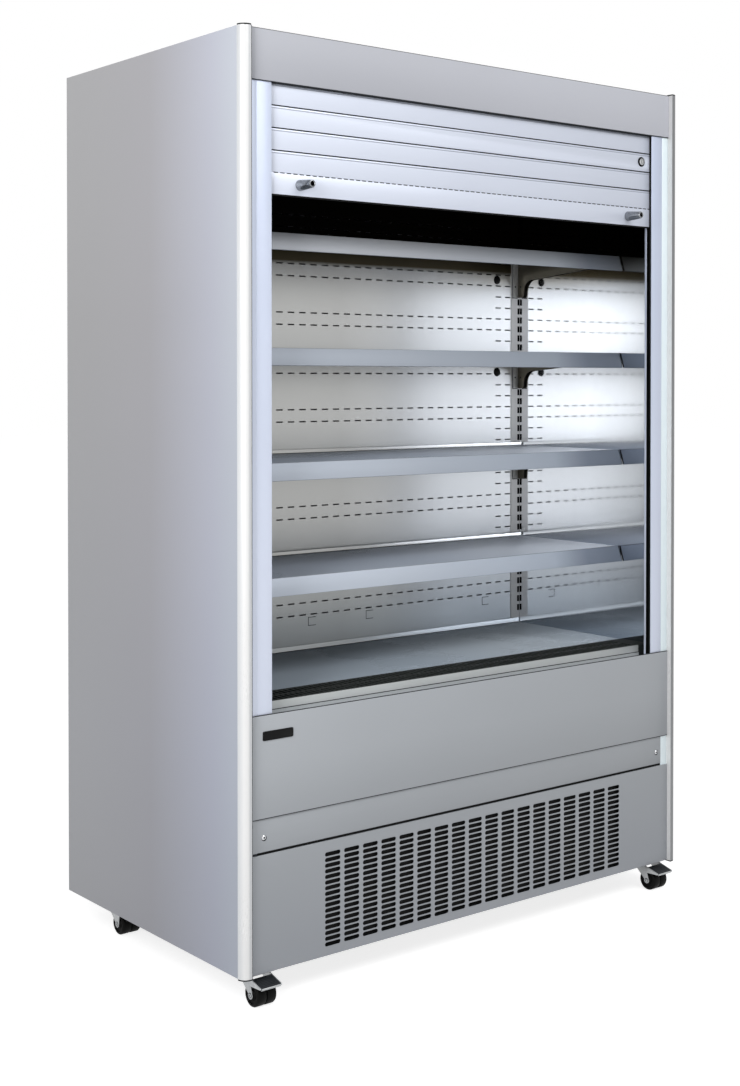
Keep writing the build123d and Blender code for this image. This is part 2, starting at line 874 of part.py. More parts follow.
def plant_pieces():
    save("base_frame", base_frame())
    x = (crossbar_x - condenser_width / 2, crossbar_x + condenser_width / 2)
    y = (condenser_plane, condenser_plane + condenser_depth)
    z = (frame_height, frame_height + condenser_height)
    save("condenser_coil", finned_coil(x, y, z, condenser_fin_depth))

    # Shroud behind the condenser, with the fan in its opening
    centre = (crossbar_x, sum(z) / 2)
    opening = condenser_height / 2 - shroud_rim
    shroud_y = (y[1], y[1] + shroud_depth)
    shroud = plate_with_openings(x, shroud_y, z, [centre], opening)
    shroud -= block(
        (x[0] + shroud_wall, x[1] - shroud_wall),
        (shroud_y[0], shroud_y[1] - shroud_wall),
        (z[0] + shroud_wall, z[1] - shroud_wall),
    )
    fan_place = Pos(centre[0], shroud_y[1] - hub_length - rotor_gap, centre[1])
    save("condenser_shroud", shroud, fan_place * fan_motor(opening))
    save("condenser_fan", fan_place * impeller(opening))

    compressor_place = Pos(-crossbar_x, body_depth / 2, frame_height + compressor_foot)
    save("compressor", compressor_place * compressor())
    tray_y = (body_depth - tray_inset - tray_depth, body_depth - tray_inset)
    tray = block(x, tray_y, (frame_height, frame_height + tray_height))
    tray -= block(
        (x[0] + tray_wall, x[1] - tray_wall),
        (tray_y[0] + tray_wall, tray_y[1] - tray_wall),
        (frame_height + tray_wall, frame_height + tray_height),
    )
    save("evaporation_tray", tray)
    box_y = (box_front, box_front + box_depth)
    box_z = (frame_height, frame_height + box_height)
    save("electrics_box", block((-wall_face, -wall_face + box_width), box_y, box_z))

    # Rear cover of the plant space, with rows of vents
    cover_plate = block((-wall_face, wall_face), (body_depth - sheet, body_depth), (0, tub_floor_height))
    places = GridLocations(vent_pitch_x, vent_pitch_z, vent_columns, vent_rows)
    vents = places * Rectangle(vent_width, vent_height)
    face = Plane((0, body_depth, tub_floor_height / 2), x_dir=(1, 0, 0), z_dir=(0, -1, 0))
    save("rear_vent_cover", cover_plate - extrude(face * Sketch(children=vents), amount=sheet))


# ---- Castors ----
def castor_plate():
    # Top plate and ball race, with z = 0 at the cabinet's underside
    half = castor_plate_size / 2
    plate = block((-half, half), (-half, half), (-castor_plate_thickness, 0))
    race = Pos(0, 0, -castor_plate_thickness - race_height) * RegularPolygon(race_radius, pin_sides)
    return plate + extrude(race, amount=race_height)


def castor_fork(braked):
    # A bridge under the race and two legs that reach forward and down to the axle. On a braked
    # castor an arm carries on from each leg beside the pedal.
    outer = fork_inner + fork_thickness
    bridge = (-castor_bridge_front, castor_bridge_back)
    fork = block((-outer, outer), bridge, (fork_top - fork_thickness, fork_top))
    nose = pedal_pin_y - fork_nose
    leg = polygon(
        (nose, pedal_pin_z - fork_nose / 2),
        (nose, pedal_pin_z + fork_nose / 2),
        (nose + fork_nose / 2, fork_top),
        (castor_bridge_back, fork_top),
        (-castor_trail + fork_boss, axle_height - fork_boss * 0.4),
        (-castor_trail + fork_boss * 0.5, axle_height - fork_boss),
        (-castor_trail - fork_boss * 0.5, axle_height - fork_boss),
        (-castor_trail - fork_boss, axle_height - fork_boss * 0.4),
    )
    if braked:
        tip = (nose - fork_arm, pedal_pin_z - fork_arm_drop)
        leg += polygon(
            (tip[0], tip[1] - fork_arm_height / 2),
            (tip[0] - fork_arm_height / 4, tip[1]),
            (tip[0], tip[1] + fork_arm_height / 4),
            (nose + fork_nose / 2, fork_top),
            (nose + 2 * fork_nose, fork_top),
            (nose + 2 * fork_nose, pedal_pin_z - fork_nose),
        )
    for start in (-outer, fork_inner):
        fork += extrude(Plane.YZ.offset(start) * leg, amount=fork_thickness)
    return fork


def castor_pin(radius, y, z):
    # A pin that runs from leg to leg
    return rod(radius, (-fork_inner, y, z), (fork_inner, y, z), pin_sides)


def castor_wheel(side):
    inner = side * wheel_gap / 2
    outer = inner + side * wheel_width
    ends = (inner, -castor_trail, axle_height), (outer, -castor_trail, axle_height)
    bore = rod(bore_for(axle_radius, running_clearance, pin_sides), *ends, pin_sides)
    return rod(wheel_radius, *ends, wheel_sides) - bore


def brake_pedal():
    # A sloping tread with its front edge turned down, on a knuckle around the fork's pin
    slope = math.radians(pedal_slope)
    hinge = (pedal_pin_y, pedal_pin_z + pedal_knuckle_radius)
    tip = (hinge[0] - pedal_length * math.cos(slope), hinge[1] - pedal_length * math.sin(slope))
    half = pedal_width / 2
    tread = across(folded((tip[0], tip[1] - pedal_lip), tip, hinge, thickness=pedal_thickness), half)
    knuckle_ends = (-half, pedal_pin_y, pedal_pin_z), (half, pedal_pin_y, pedal_pin_z)
    knuckle = tread + rod(pedal_knuckle_radius, *knuckle_ends, pin_sides)
    return knuckle - rod(bore_for(pedal_pin_radius, running_clearance, pin_sides), *knuckle_ends, pin_sides)


def castor_pieces():
    places = {}
    for row, y in (("front", castor_front), ("rear", castor_rear)):
        for name, side in (("left", -1), ("right", 1)):
            places[f"{row}_{name}"] = Pos(side * (half_width - castor_inset_x), y, 0)
    save("castor_plates", *[place * castor_plate() for place in places.values()])
    axle = castor_pin(axle_radius, -castor_trail, axle_height)
    for name, place in places.items():
        braked = name.startswith("front")
        fork = [place * castor_fork(braked), place * axle]
        if braked:
            fork.append(place * castor_pin(pedal_pin_radius, pedal_pin_y, pedal_pin_z))
            save(f"brake_pedal_{name.split('_')[1]}", place * brake_pedal())
        save(f"castor_fork_{name}", *fork)
        save(f"castor_wheels_{name}", *[place * castor_wheel(side) for side in (-1, 1)])


os.makedirs("parts", exist_ok=True)
shell_pieces()
cover_pieces()
shutter_pieces()
canopy_pieces()
display_pieces()
tub_pieces()
plant_pieces()
castor_pieces()
print("shutter travel", shutter_travel, "barrel turns", wound_turns)
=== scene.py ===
import json
import math

import bmesh
import bpy
from mathutils import Matrix, Vector

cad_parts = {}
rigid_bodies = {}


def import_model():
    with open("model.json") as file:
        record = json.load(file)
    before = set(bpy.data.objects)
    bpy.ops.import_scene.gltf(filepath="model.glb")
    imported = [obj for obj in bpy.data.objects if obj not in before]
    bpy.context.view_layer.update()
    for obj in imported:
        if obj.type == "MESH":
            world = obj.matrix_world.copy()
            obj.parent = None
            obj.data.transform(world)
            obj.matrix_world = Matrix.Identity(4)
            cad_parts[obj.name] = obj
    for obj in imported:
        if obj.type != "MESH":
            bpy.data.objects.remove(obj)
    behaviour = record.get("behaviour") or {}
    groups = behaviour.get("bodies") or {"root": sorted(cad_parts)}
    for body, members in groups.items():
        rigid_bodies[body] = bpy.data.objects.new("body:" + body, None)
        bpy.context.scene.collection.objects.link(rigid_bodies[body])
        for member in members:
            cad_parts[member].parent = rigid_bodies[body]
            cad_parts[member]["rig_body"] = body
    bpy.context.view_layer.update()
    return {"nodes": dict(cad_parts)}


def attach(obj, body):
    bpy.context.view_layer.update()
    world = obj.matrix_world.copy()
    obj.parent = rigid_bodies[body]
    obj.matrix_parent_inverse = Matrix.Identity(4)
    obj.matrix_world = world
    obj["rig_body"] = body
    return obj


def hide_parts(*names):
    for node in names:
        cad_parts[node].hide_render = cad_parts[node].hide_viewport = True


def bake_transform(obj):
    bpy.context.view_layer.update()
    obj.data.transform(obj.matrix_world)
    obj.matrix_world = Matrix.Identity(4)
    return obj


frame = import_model()
nodes = frame["nodes"]
print("frame loaded:", len(nodes), "nodes")

# Sizes below are in millimetres on the cabinet: x from the middle of the width, y back from the
# front of the covers, z up from the underside of the cabinet.
cabinet = {
    "coverPlane": -0.3515,      # metres in the frame
    "underside": 0.068,
    "halfWidth": 665,
    "height": 1942,
    "linerFace": 625,
    "trimInner": 620,
    "jambInner": 582,
    "headerBase": 1837,
    "shelfTops": (790, 1041.5, 1293, 1544.5),
    "shutterTravel": 1082.5,
}


def at(x, y, z):
    return Vector((x / 1000, cabinet["coverPlane"] + y / 1000, cabinet["underside"] + z / 1000))


# ---- materials ----
def linear(hexColour):
    values = [int(hexColour[i:i + 2], 16) / 255 for i in (1, 3, 5)]
    return [v / 12.92 if v <= 0.04045 else ((v + 0.055) / 1.055) ** 2.4 for v in values] + [1]


def addNode(tree, kind, settings=None, links=None):
    node = tree.nodes.new(kind)
    for key, value in (settings or {}).items():
        if isinstance(key, int) or key in node.inputs:
            node.inputs[key].default_value = value
        else:
            setattr(node, key, value)
    for key, source in (links or {}).items():
        tree.links.new(source, node.inputs[key])
    return node


def fade(tree, colour, place, fades):
    # Soft ramps along the frame's axes, which paint in how the light falls off over a long sheet
    along = addNode(tree, "ShaderNodeSeparateXYZ", {}, {"Vector": place}).outputs
    for axis, stops in fades:
        low, high = stops[0][0], stops[-1][0]
        run = addNode(tree, "ShaderNodeMapRange", {"From Min": low, "From Max": high}, {"Value": along[axis]})
        ramp = addNode(tree, "ShaderNodeValToRGB", {}, {"Fac": run.outputs["Result"]})
        ramp.color_ramp.interpolation = "EASE" if len(stops) == 2 else "LINEAR"
        points = ramp.color_ramp.elements
        for i, (spot, shade) in enumerate(stops):
            position = (spot - low) / (high - low)
            point = points[0] if i == 0 else points[-1] if i == len(stops) - 1 else points.new(position)
            point.position = position
            point.color = linear(shade)
        colour = addNode(tree, "ShaderNodeMix", {"data_type": "RGBA", "blend_type": "MULTIPLY", 0: 1}, {
            6: colour, 7: ramp.outputs["Color"],
        }).outputs[2]
    return colour


def surface(name, spec):
    # Two noises, a cloudy one and a drawn-out grain, carry the colour, roughness and bump
    material = bpy.data.materials.new(name)
    material.use_nodes = True
    tree = material.node_tree
    shader = tree.nodes["Principled BSDF"]
    shader.inputs["Metallic"].default_value = spec.get("metallic", 0)
    shader.inputs["Specular IOR Level"].default_value = spec.get("specular", 0.5)
    place = addNode(tree, "ShaderNodeTexCoord").outputs["Object"]
    stretch = spec.get("stretch", (1, 1, 1))
    drawn = addNode(tree, "ShaderNodeMapping", {"Scale": stretch}, {"Vector": place})
    grain = addNode(tree, "ShaderNodeTexNoise", {
        "Scale": 1000 / spec["grainSize"], "Detail": 3, "Roughness": 0.6,
    }, {"Vector": drawn.outputs["Vector"]})
    cloud = addNode(tree, "ShaderNodeTexNoise", {
        "Scale": 1000 / spec["cloudSize"], "Detail": 2,
    }, {"Vector": place})
    both = addNode(tree, "ShaderNodeMix", {"data_type": "FLOAT", 0: spec.get("cloudShare", 0.5)}, {
        2: grain.outputs["Fac"], 3: cloud.outputs["Fac"],
    })
    colour = addNode(tree, "ShaderNodeValToRGB", {}, {"Fac": both.outputs[0]})
    colour.color_ramp.elements[0].position = 0.3
    colour.color_ramp.elements[1].position = 0.7
    colour.color_ramp.elements[0].color = linear(spec["dark"])
    colour.color_ramp.elements[1].color = linear(spec["light"])
    faded = fade(tree, colour.outputs["Color"], place, spec.get("fades", ()))
    tree.links.new(faded, shader.inputs["Base Color"])
    low, high = spec["roughness"]
    gloss = addNode(tree, "ShaderNodeMapRange", {
        "From Min": 0.3, "From Max": 0.7, "To Min": low, "To Max": high,
    }, {"Value": both.outputs[0]})
    tree.links.new(gloss.outputs["Result"], shader.inputs["Roughness"])
    bump = addNode(tree, "ShaderNodeBump", {
        "Strength": spec.get("bump", 0.1), "Distance": spec.get("depth", 0.05) / 1000,
    }, {"Height": grain.outputs["Fac"]})
    tree.links.new(bump.outputs["Normal"], shader.inputs["Normal"])
    return material


# Brush lines on sheet are about 1 mm wide and 20 mm long, and drawing lines on extrusions a little
# finer. Both are too fine to be told apart from a few metres, and only soften the highlights.
brushedAcross = {"grainSize": 1.2, "stretch": (0.06, 1, 1), "cloudShare": 0.8}
brushedUp = {"grainSize": 1.2, "stretch": (1, 1, 0.06), "cloudShare": 0.8}
extrudedAcross = {"grainSize": 0.8, "stretch": (0.05, 1, 1), "cloudSize": 500, "cloudShare": 0.8}
extrudedUp = {"grainSize": 0.8, "stretch": (1, 1, 0.05), "cloudSize": 500, "cloudShare": 0.8}
# Painted light for the shelf tops and the deck: brighter towards the far corner
paintedLightTowardsFarCorner = (0, ((-0.6, "#c0c2c4"), (0, "#dcdfe3"), (0.35, "#ffffff")))

# Stainless steel sheet with a fine satin brush: a soft, even grey that takes broad highlights
# Its colour carries a painted sheen, brightest at the front edge, and painted shade, darker towards the
# bottom
satinSteelSide = surface("satinStainlessSideSheet", {
    "dark": "#bcc1cb", "light": "#c2c7d1", "metallic": 0.2, "roughness": (0.38, 0.44),
    **brushedUp, "cloudSize": 700, "bump": 0.03,
    "fades": (
        (1, ((-0.33, "#ffffff"), (-0.25, "#f8f5f8"), (0, "#e9e2dd"), (0.38, "#f5efe6"))),
        (2, ((0.07, "#dcdee2"), (0.5, "#e7e9ed"), (1.43, "#f0f0f0"), (2, "#ffffff"))),
    ),
})
# The front covers' sheet, with painted shade that makes it darker towards the bottom
satinSteelFront = surface("satinStainlessFrontSheet", {
    "dark": "#a5a9ae", "light": "#abafb4", "metallic": 0.2, "roughness": (0.38, 0.44),
    **brushedAcross, "cloudSize": 600, "bump": 0.03,
    "fades": ((2, ((0.12, "#e4e4e6"), (0.35, "#f1f1f1"), (0.5, "#ffffff"))),),
})
# The header's sheet, with painted shade that makes it darker towards the left end
satinSteelHeader = surface("satinStainlessHeaderSheet", {
    "dark": "#c0c2ca", "light": "#c5c7cf", "metallic": 0.1, "roughness": (0.5, 0.56), "specular": 0.3,
    **brushedAcross, "cloudSize": 600, "bump": 0.03,
    "fades": ((0, ((-0.64, "#dadada"), (0.64, "#ffffff"))),),
})
# Satin stainless lining, brighter and glossier, with soft reflections of the shelves
# Painted light makes it brighter towards the right and up the wall; painted shade makes it dark brown just
# under the top shelf
brightSteelLining = surface("satinStainlessLining", {
    "dark": "#eff1f1", "light": "#f7f8f8", "metallic": 0.96, "roughness": (0.3, 0.34),
    **brushedAcross, "cloudSize": 500, "bump": 0.015,
    "fades": (
        (0, ((-0.62, "#c8c7c4"), (0, "#d2d1cf"), (0.35, "#ffffff"))),
        (2, ((0.62, "#c8ccd0"), (0.9, "#e6e6e6"), (1.2, "#f8f8f8"), (1.578, "#ffffff"), (1.588, "#6b6350"),
             (1.62, "#5a5241"))),
    ),
})
# The same sheet where it lies in the housing's deep shade
shadedSteelLining = surface("shadedStainlessLining", {
    "dark": "#070503", "light": "#0c0905", "roughness": (0.5, 0.6), "specular": 0.05,
    **brushedAcross, "cloudSize": 500, "bump": 0.015,
})
# Bright annealed stainless side wall, almost a mirror
# Painted shade makes it brown and dark from just under the top shelf upwards, and a little darker towards the
# bottom
mirrorSteelLining = surface("brightAnnealedStainless", {
    "dark": "#d9dde4", "light": "#dee2e9", "metallic": 1, "roughness": (0.05, 0.08),
    "grainSize": 30, "cloudSize": 260, "bump": 0.01,
    "fades": (
        (2, ((0.62, "#e4e7ea"), (0.9, "#f6f6f6"), (1.53, "#ffffff"), (1.57, "#c9c2b4"), (1.62, "#7d7462"))),
    ),
})
# Shelf tops and deck. Mostly matt here, which gives their pale grey; sharp metal came out too dark
# The shelf tops carry painted light, brighter towards the far corner
shelfSteel = surface("satinStainlessShelfSheet", {
    "dark": "#dbe4f2", "light": "#e3ecfa", "metallic": 0.15, "roughness": (0.25, 0.33),
    **brushedAcross, "cloudSize": 400, "bump": 0.02,
    "fades": (paintedLightTowardsFarCorner,),
})
# The undersides see only the shelf below and little light, and look brown and dim
shelfUnderside = surface("shadedStainlessUnderside", {
    "dark": "#1a1710", "light": "#242017", "metallic": 0.2, "roughness": (0.4, 0.5), "specular": 0.1,
    **brushedAcross, "cloudSize": 300, "bump": 0.02,
})
# The deck's sheet, with the same painted light towards the far corner
deckSteel = surface("satinStainlessDeckSheet", {
    "dark": "#d3dfea", "light": "#dbe7f2", "metallic": 0.15, "roughness": (0.25, 0.33),
    **brushedAcross, "cloudSize": 400, "bump": 0.02,
    "fades": (paintedLightTowardsFarCorner,),
})
# Leaning price rails, evenly matt, and greyer towards the far corner by a painted dark reflection
# Painted shade also makes the rails of the middle shelves darker
railSteel = surface("satinStainlessPriceRail", {
    "dark": "#b8c0cc", "light": "#bfc7d3", "metallic": 0.15, "roughness": (0.45, 0.52), "specular": 0.25,
    **brushedAcross, "cloudSize": 400, "bump": 0.02,
    "fades": (
        (0, ((-0.6, "#ffffff"), (-0.1, "#f2f2f2"), (0.38, "#e8ebee"), (0.5, "#a8adb5"), (0.62, "#a0a6ae"))),
        (2, ((0.86, "#ffffff"), (1.36, "#dcdcdc"), (1.6, "#fffaf4"))),
    ),
})
# Upright plates that catch the light at the roots of the brackets
bracketSteel = surface("satinStainlessBracketPlate", {
    "dark": "#b2b1ad", "light": "#bebdb9", "metallic": 0.25, "roughness": (0.35, 0.45),
    "grainSize": 1.2, "cloudSize": 60, "cloudShare": 0.6, "bump": 0.04,
})
# The arms of the brackets lie in the shade under their shelves
bracketArmSteel = surface("shadedStainlessBracketArm", {
    "dark": "#4f4b41", "light": "#5d594e", "metallic": 0.4, "roughness": (0.35, 0.45), "specular": 0.2,
    "grainSize": 1.2, "cloudSize": 60, "cloudShare": 0.6, "bump": 0.04,
})
# Slotted uprights: brushed and half glossy, so that they pick up the tone of the corner
uprightSteel = surface("satinStainlessUpright", {
    "dark": "#b5b4b2", "light": "#c1c0be", "metallic": 0.5, "roughness": (0.28, 0.36),
    **brushedUp, "cloudSize": 300, "bump": 0.03,
})
# The lip and kerb in front of the grille, a pale line to the eye
lipSteel = surface("satinStainlessLip", {
    "dark": "#b4b8b8", "light": "#bdc1c1", "metallic": 0.2, "roughness": (0.36, 0.42),
    **brushedAcross, "cloudSize": 400, "bump": 0.02,
})
# Natural anodised aluminium extrusion: pale, faintly blue and evenly matt
# Painted shade makes it a little darker towards the top
anodisedUpright = surface("anodisedAluminiumUpright", {
    "dark": "#dae1f2", "light": "#e0e7f8", "metallic": 0.15, "roughness": (0.34, 0.4),
    **extrudedUp, "bump": 0.03,
    "fades": ((2, ((0.6, "#ffffff"), (1.9, "#e0e3e8"))),),
})
# The same finish drawn across the slats, a little greyer
anodisedSlat = surface("anodisedAluminiumSlat", {
    "dark": "#ced4e2", "light": "#d4dae8", "metallic": 0.15, "roughness": (0.34, 0.4),
    **extrudedAcross, "bump": 0.03,
})
# Painted shade: flat strips on the slats, greyer than their crowns, for the shade in the hollows of their
# profile
anodisedHollowShade = surface("anodisedAluminiumSlatHollowShade", {
    "dark": "#a0a6b5", "light": "#a8aebc", "metallic": 0.15, "roughness": (0.4, 0.46),
    **extrudedAcross, "bump": 0.03,
})
# Aluminium strip beside the far corner, with a painted highlight that makes it the brightest line of the
# cabinet
trimHighlight = surface("aluminiumTrimPaintedHighlight", {
    "dark": "#e8f5fa", "light": "#f0fbff", "metallic": 0.1, "roughness": (0.24, 0.3),
    **extrudedUp, "bump": 0.02,
})
# Polished aluminium corner, with a painted highlight across its curve that falls to grey towards its front,
# and a little darker towards the top
polishedProfileHighlight = surface("polishedAluminiumCornerHighlight", {
    "dark": "#e6e6e6", "light": "#ececec", "metallic": 0.1, "roughness": (0.26, 0.32),
    **extrudedUp, "bump": 0.02,
    "fades": (
        (0, ((-0.665, "#f0f3f6"), (-0.659, "#ffffff"), (-0.651, "#fafafa"), (-0.646, "#d8dadd"),
             (-0.6, "#ffffff"))),
        (2, ((0.6, "#ffffff"), (1.9, "#efefef"))),
    ),
})
# The profile at the far corner turns away from the light, and is greyer to the eye
shadedProfile = surface("polishedAluminiumFarCorner", {
    "dark": "#888a8c", "light": "#929496", "metallic": 0.1, "roughness": (0.4, 0.46),
    **extrudedUp, "bump": 0.02,
    "fades": ((2, ((0.6, "#ffffff"), (1.9, "#e4e4e4"))),),
})
# Black moulded nylon and powder-coated steel: dark, with a fine leathery grain
blackNylon = surface("blackMouldedNylon", {
    "dark": "#030304", "light": "#070708", "roughness": (0.4, 0.5), "specular": 0.15,
    "grainSize": 1.5, "cloudSize": 30, "bump": 0.15, "depth": 0.1,
})
# The same black is put on the backs of the slats and the bottom bar as painted shade
blackCoatAndBackShade = surface("blackPowderCoatAndPaintedShade", {
    "dark": "#050505", "light": "#0b0b0b", "roughness": (0.5, 0.6), "specular": 0.2,
    "grainSize": 2, "cloudSize": 60, "bump": 0.15, "depth": 0.08,
})
greyPowderCoat = surface("darkGreyPowderCoatedSteel", {
    "dark": "#2b2e2d", "light": "#353837", "roughness": (0.5, 0.6), "specular": 0.15,
    "grainSize": 2, "cloudSize": 60, "bump": 0.15, "depth": 0.08,
})
# Blackened steel with a dull sheen, for the ribbed brake treads
pedalSteel = surface("blackenedPedalSteel", {
    "dark": "#1d2023", "light": "#282b2f", "metallic": 0.4, "roughness": (0.32, 0.42),
    "grainSize": 1.5, "cloudSize": 20, "bump": 0.1,
})
# Wheels of black thermoplastic, nearly without highlights
treadRubber = surface("blackThermoplasticTread", {
    "dark": "#020202", "light": "#060605", "roughness": (0.5, 0.65), "specular": 0.1,
    "grainSize": 1.2, "cloudSize": 18, "bump": 0.2, "depth": 0.12,
})
# Painted shade for the dark inside of a bore or hollow, also used for the dark collar of the lock
boreShade = surface("shadowedBore", {
    "dark": "#010101", "light": "#030303", "roughness": (0.8, 0.9), "specular": 0,
    "grainSize": 2, "cloudSize": 20,
})
# Zinc-plated pressed steel, bright with a mottled grey
zincPlate = surface("zincPlatedSteel", {
    "dark": "#a3a6a8", "light": "#bfc1c2", "metallic": 0.6, "roughness": (0.28, 0.42),
    "grainSize": 6, "cloudSize": 30, "bump": 0.05,
})
# Chromed brass, sharp and bright, for screws and the lock
chromePlate = surface("chromePlatedBrass", {
    "dark": "#b4b6b8", "light": "#c6c8ca", "metallic": 1, "roughness": (0.12, 0.2),
    "grainSize": 10, "cloudSize": 40, "bump": 0.02,
})
# Satin chrome of the pull knobs, darker and softer than the lock's
knobSteel = surface("satinChromedKnob", {
    "dark": "#84878a", "light": "#93969a", "metallic": 0.9, "roughness": (0.18, 0.26),
    "grainSize": 10, "cloudSize": 40, "bump": 0.02,
})
# Painted shade: the near-black line that a narrow gap makes, also in slots, holes and small shadows
paintedDarkShade = surface("shadowedSeamPaint", {
    "dark": "#1c1e22", "light": "#272a2f", "roughness": (0.6, 0.7), "specular": 0.2, "grainSize": 4,
    "cloudSize": 40,
})
# Soft black rubber without gloss, also used as painted shade in the rails' channels
blackRubberAndChannelShade = surface("blackSealRubberAndChannelShade", {
    "dark": "#060606", "light": "#0c0c0c", "roughness": (0.6, 0.75), "specular": 0.15, "grainSize": 2,
    "cloudSize": 30, "bump": 0.15, "depth": 0.08,
})
# Packed fins of the coils, dark between and grey on the edges
aluminiumFins = surface("aluminiumCoilFins", {
    "dark": "#2c2e30", "light": "#484a4c", "metallic": 0.5, "roughness": (0.45, 0.6),
    "grainSize": 3, "stretch": (1, 1, 0.05), "cloudSize": 80, "bump": 0.3, "depth": 0.3,
})
# Stoved black enamel of the plant, which hardly shows
darkPlant = surface("blackStovedEnamel", {
    "dark": "#08090a", "light": "#101112", "roughness": (0.45, 0.6), "specular": 0.2, "grainSize": 6,
    "cloudSize": 80,
})
print("materials made:", len(bpy.data.materials))


# ---- mesh helpers ----
def vertsOf(made):
    return [part for part in made["geom"] if isinstance(part, bmesh.types.BMVert)]


def edgesOf(verts):
    return list(dict.fromkeys(edge for vert in verts for edge in vert.link_edges))


def breakEdges(mesh, edges, width, segments=2):
    bmesh.ops.bevel(mesh, geom=edges, offset=width, offset_type="OFFSET", segments=segments, profile=0.5,
                    affect="EDGES", clamp_overlap=True, material=-1)


def faceTowards(mesh, faces, direction):
    # Turns the whole mesh over when the given faces look away from the direction
    if sum(face.normal.dot(Vector(direction)) for face in faces) < 0:
        bmesh.ops.reverse_faces(mesh, faces=mesh.faces)


def addObject(mesh, name, material):
    data = bpy.data.meshes.new(name)
    mesh.to_mesh(data)
    mesh.free()
    data.materials.append(material)
    piece = bpy.data.objects.new(name, data)
    bpy.context.scene.collection.objects.link(piece)
    return piece


def finish(mesh, name, material, body, replaced=(), smooth=35, flatOver=0.001):
    # Turns a bmesh into a piece of the object, riding on its body. Its large faces are shaded flat,
    # so that the softened edges beside them don't bend their reflections.
    bmesh.ops.remove_doubles(mesh, verts=mesh.verts, dist=0.000004)
    bmesh.ops.recalc_face_normals(mesh, faces=mesh.faces)
    piece = addObject(mesh, name, material)
    faces = piece.data.polygons
    faces.foreach_set("use_smooth", [face.area < flatOver for face in faces])
    piece.data.set_sharp_from_angle(angle=math.radians(smooth))
    if replaced:
        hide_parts(*replaced)
    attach(piece, body)
    return piece


def repaint(piece, material, chosen):
    # Gives the chosen faces a material of their own
    piece.data.materials.append(material)
    for face in piece.data.polygons:
        if chosen(face):
            face.material_index = len(piece.data.materials) - 1


def addBlock(mesh, x, y, z, soft=0):
    low, high = at(x[0], y[0], z[0]), at(x[1], y[1], z[1])
    made = bmesh.ops.create_cube(mesh, size=1)["verts"]
    bmesh.ops.scale(mesh, vec=high - low, verts=made)
    bmesh.ops.translate(mesh, vec=(low + high) / 2, verts=made)
    if soft:
        breakEdges(mesh, edgesOf(made), soft / 1000)


def addPrism(mesh, corners, vector, soft=0):
    # A flat outline of points in the frame, drawn out along a vector
    face = mesh.faces.new([mesh.verts.new(c) for c in corners])
    top = vertsOf(bmesh.ops.extrude_face_region(mesh, geom=[face]))
    bmesh.ops.translate(mesh, vec=vector, verts=top)
    if soft:
        breakEdges(mesh, edgesOf(list(face.verts) + top), soft / 1000)


def addTurned(mesh, outline, centre, axis, steps=32):
    # Spins points of (radius, distance along the axis) about an axis through the centre
    along = Vector(axis).normalized()
    out = along.orthogonal().normalized()
    points = [mesh.verts.new(centre + (out * r + along * a) / 1000) for r, a in outline]
    edges = [mesh.edges.new(pair) for pair in zip(points, points[1:])]
    bmesh.ops.spin(mesh, geom=points + edges, cent=centre, axis=along, angle=math.tau, steps=steps,
                   use_merge=True)


def addRod(mesh, radius, length, centre, axis, steps, start=0):
    addTurned(mesh, [(0, start), (radius, start), (radius, length), (0, length)], centre, axis, steps)


def addSlottedSheet(mesh, xs, zs, isOpen, place, facing, thickness):
    # A sheet on a grid whose lines lie at the given places, with the open cells taken out
    made = bmesh.ops.create_grid(mesh, x_segments=len(xs) - 1, y_segments=len(zs) - 1, size=0.5)["verts"]
    for vert in made:
        i = round((vert.co.x + 0.5) * (len(xs) - 1))
        j = round((vert.co.y + 0.5) * (len(zs) - 1))
        vert.co.x, vert.co.y = xs[i], zs[j]
    middles = [(face, face.calc_center_median()) for face in mesh.faces]
    holes = [face for face, middle in middles if isOpen(middle.x, middle.y)]
    bmesh.ops.delete(mesh, geom=holes, context="FACES")
    for vert in mesh.verts:
        vert.co = place(vert.co.x, vert.co.y)
    for face in mesh.faces:
        face.normal_update()
    faceTowards(mesh, mesh.faces, facing)
    bmesh.ops.solidify(mesh, geom=mesh.faces, thickness=thickness / 1000)


def softEdges(nodeName, width, material, others=()):
    # A merged copy of a node with its edges broken, to stand for it. The faces that look along one
    # of the given directions have a material of their own.
    mesh = bmesh.new()
    mesh.from_mesh(nodes[nodeName].data)
    bmesh.ops.remove_doubles(mesh, verts=mesh.verts, dist=0.000002)
    bmesh.ops.dissolve_limit(mesh, angle_limit=math.radians(0.5), verts=mesh.verts, edges=mesh.edges)
    sharp = [e for e in mesh.edges if len(e.link_faces) == 2 and e.calc_face_angle() > math.radians(25)]
    breakEdges(mesh, sharp, width / 1000)
    piece = finish(mesh, nodeName + "Soft", material, nodes[nodeName]["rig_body"], [nodeName], smooth=30)
    for facing, other in others:
        repaint(piece, other, lambda face: face.normal.dot(Vector(facing)) > 0.5)


def paint(material, *names):
    for name in names:
        data = nodes[name].data
        data.materials.clear()
        data.materials.append(material)

# ---- cabinet shell ----
for name in ("end_wall_left", "end_wall_right"):
    softEdges(name, 1.2, satinSteelSide)
softEdges("header_fascia", 0.5, satinSteelHeader)
softEdges("front_panel", 0.5, satinSteelFront)
softEdges("service_band", 0.5, satinSteelFront)
softEdges("guide_rails", 0.5, anodisedUpright)
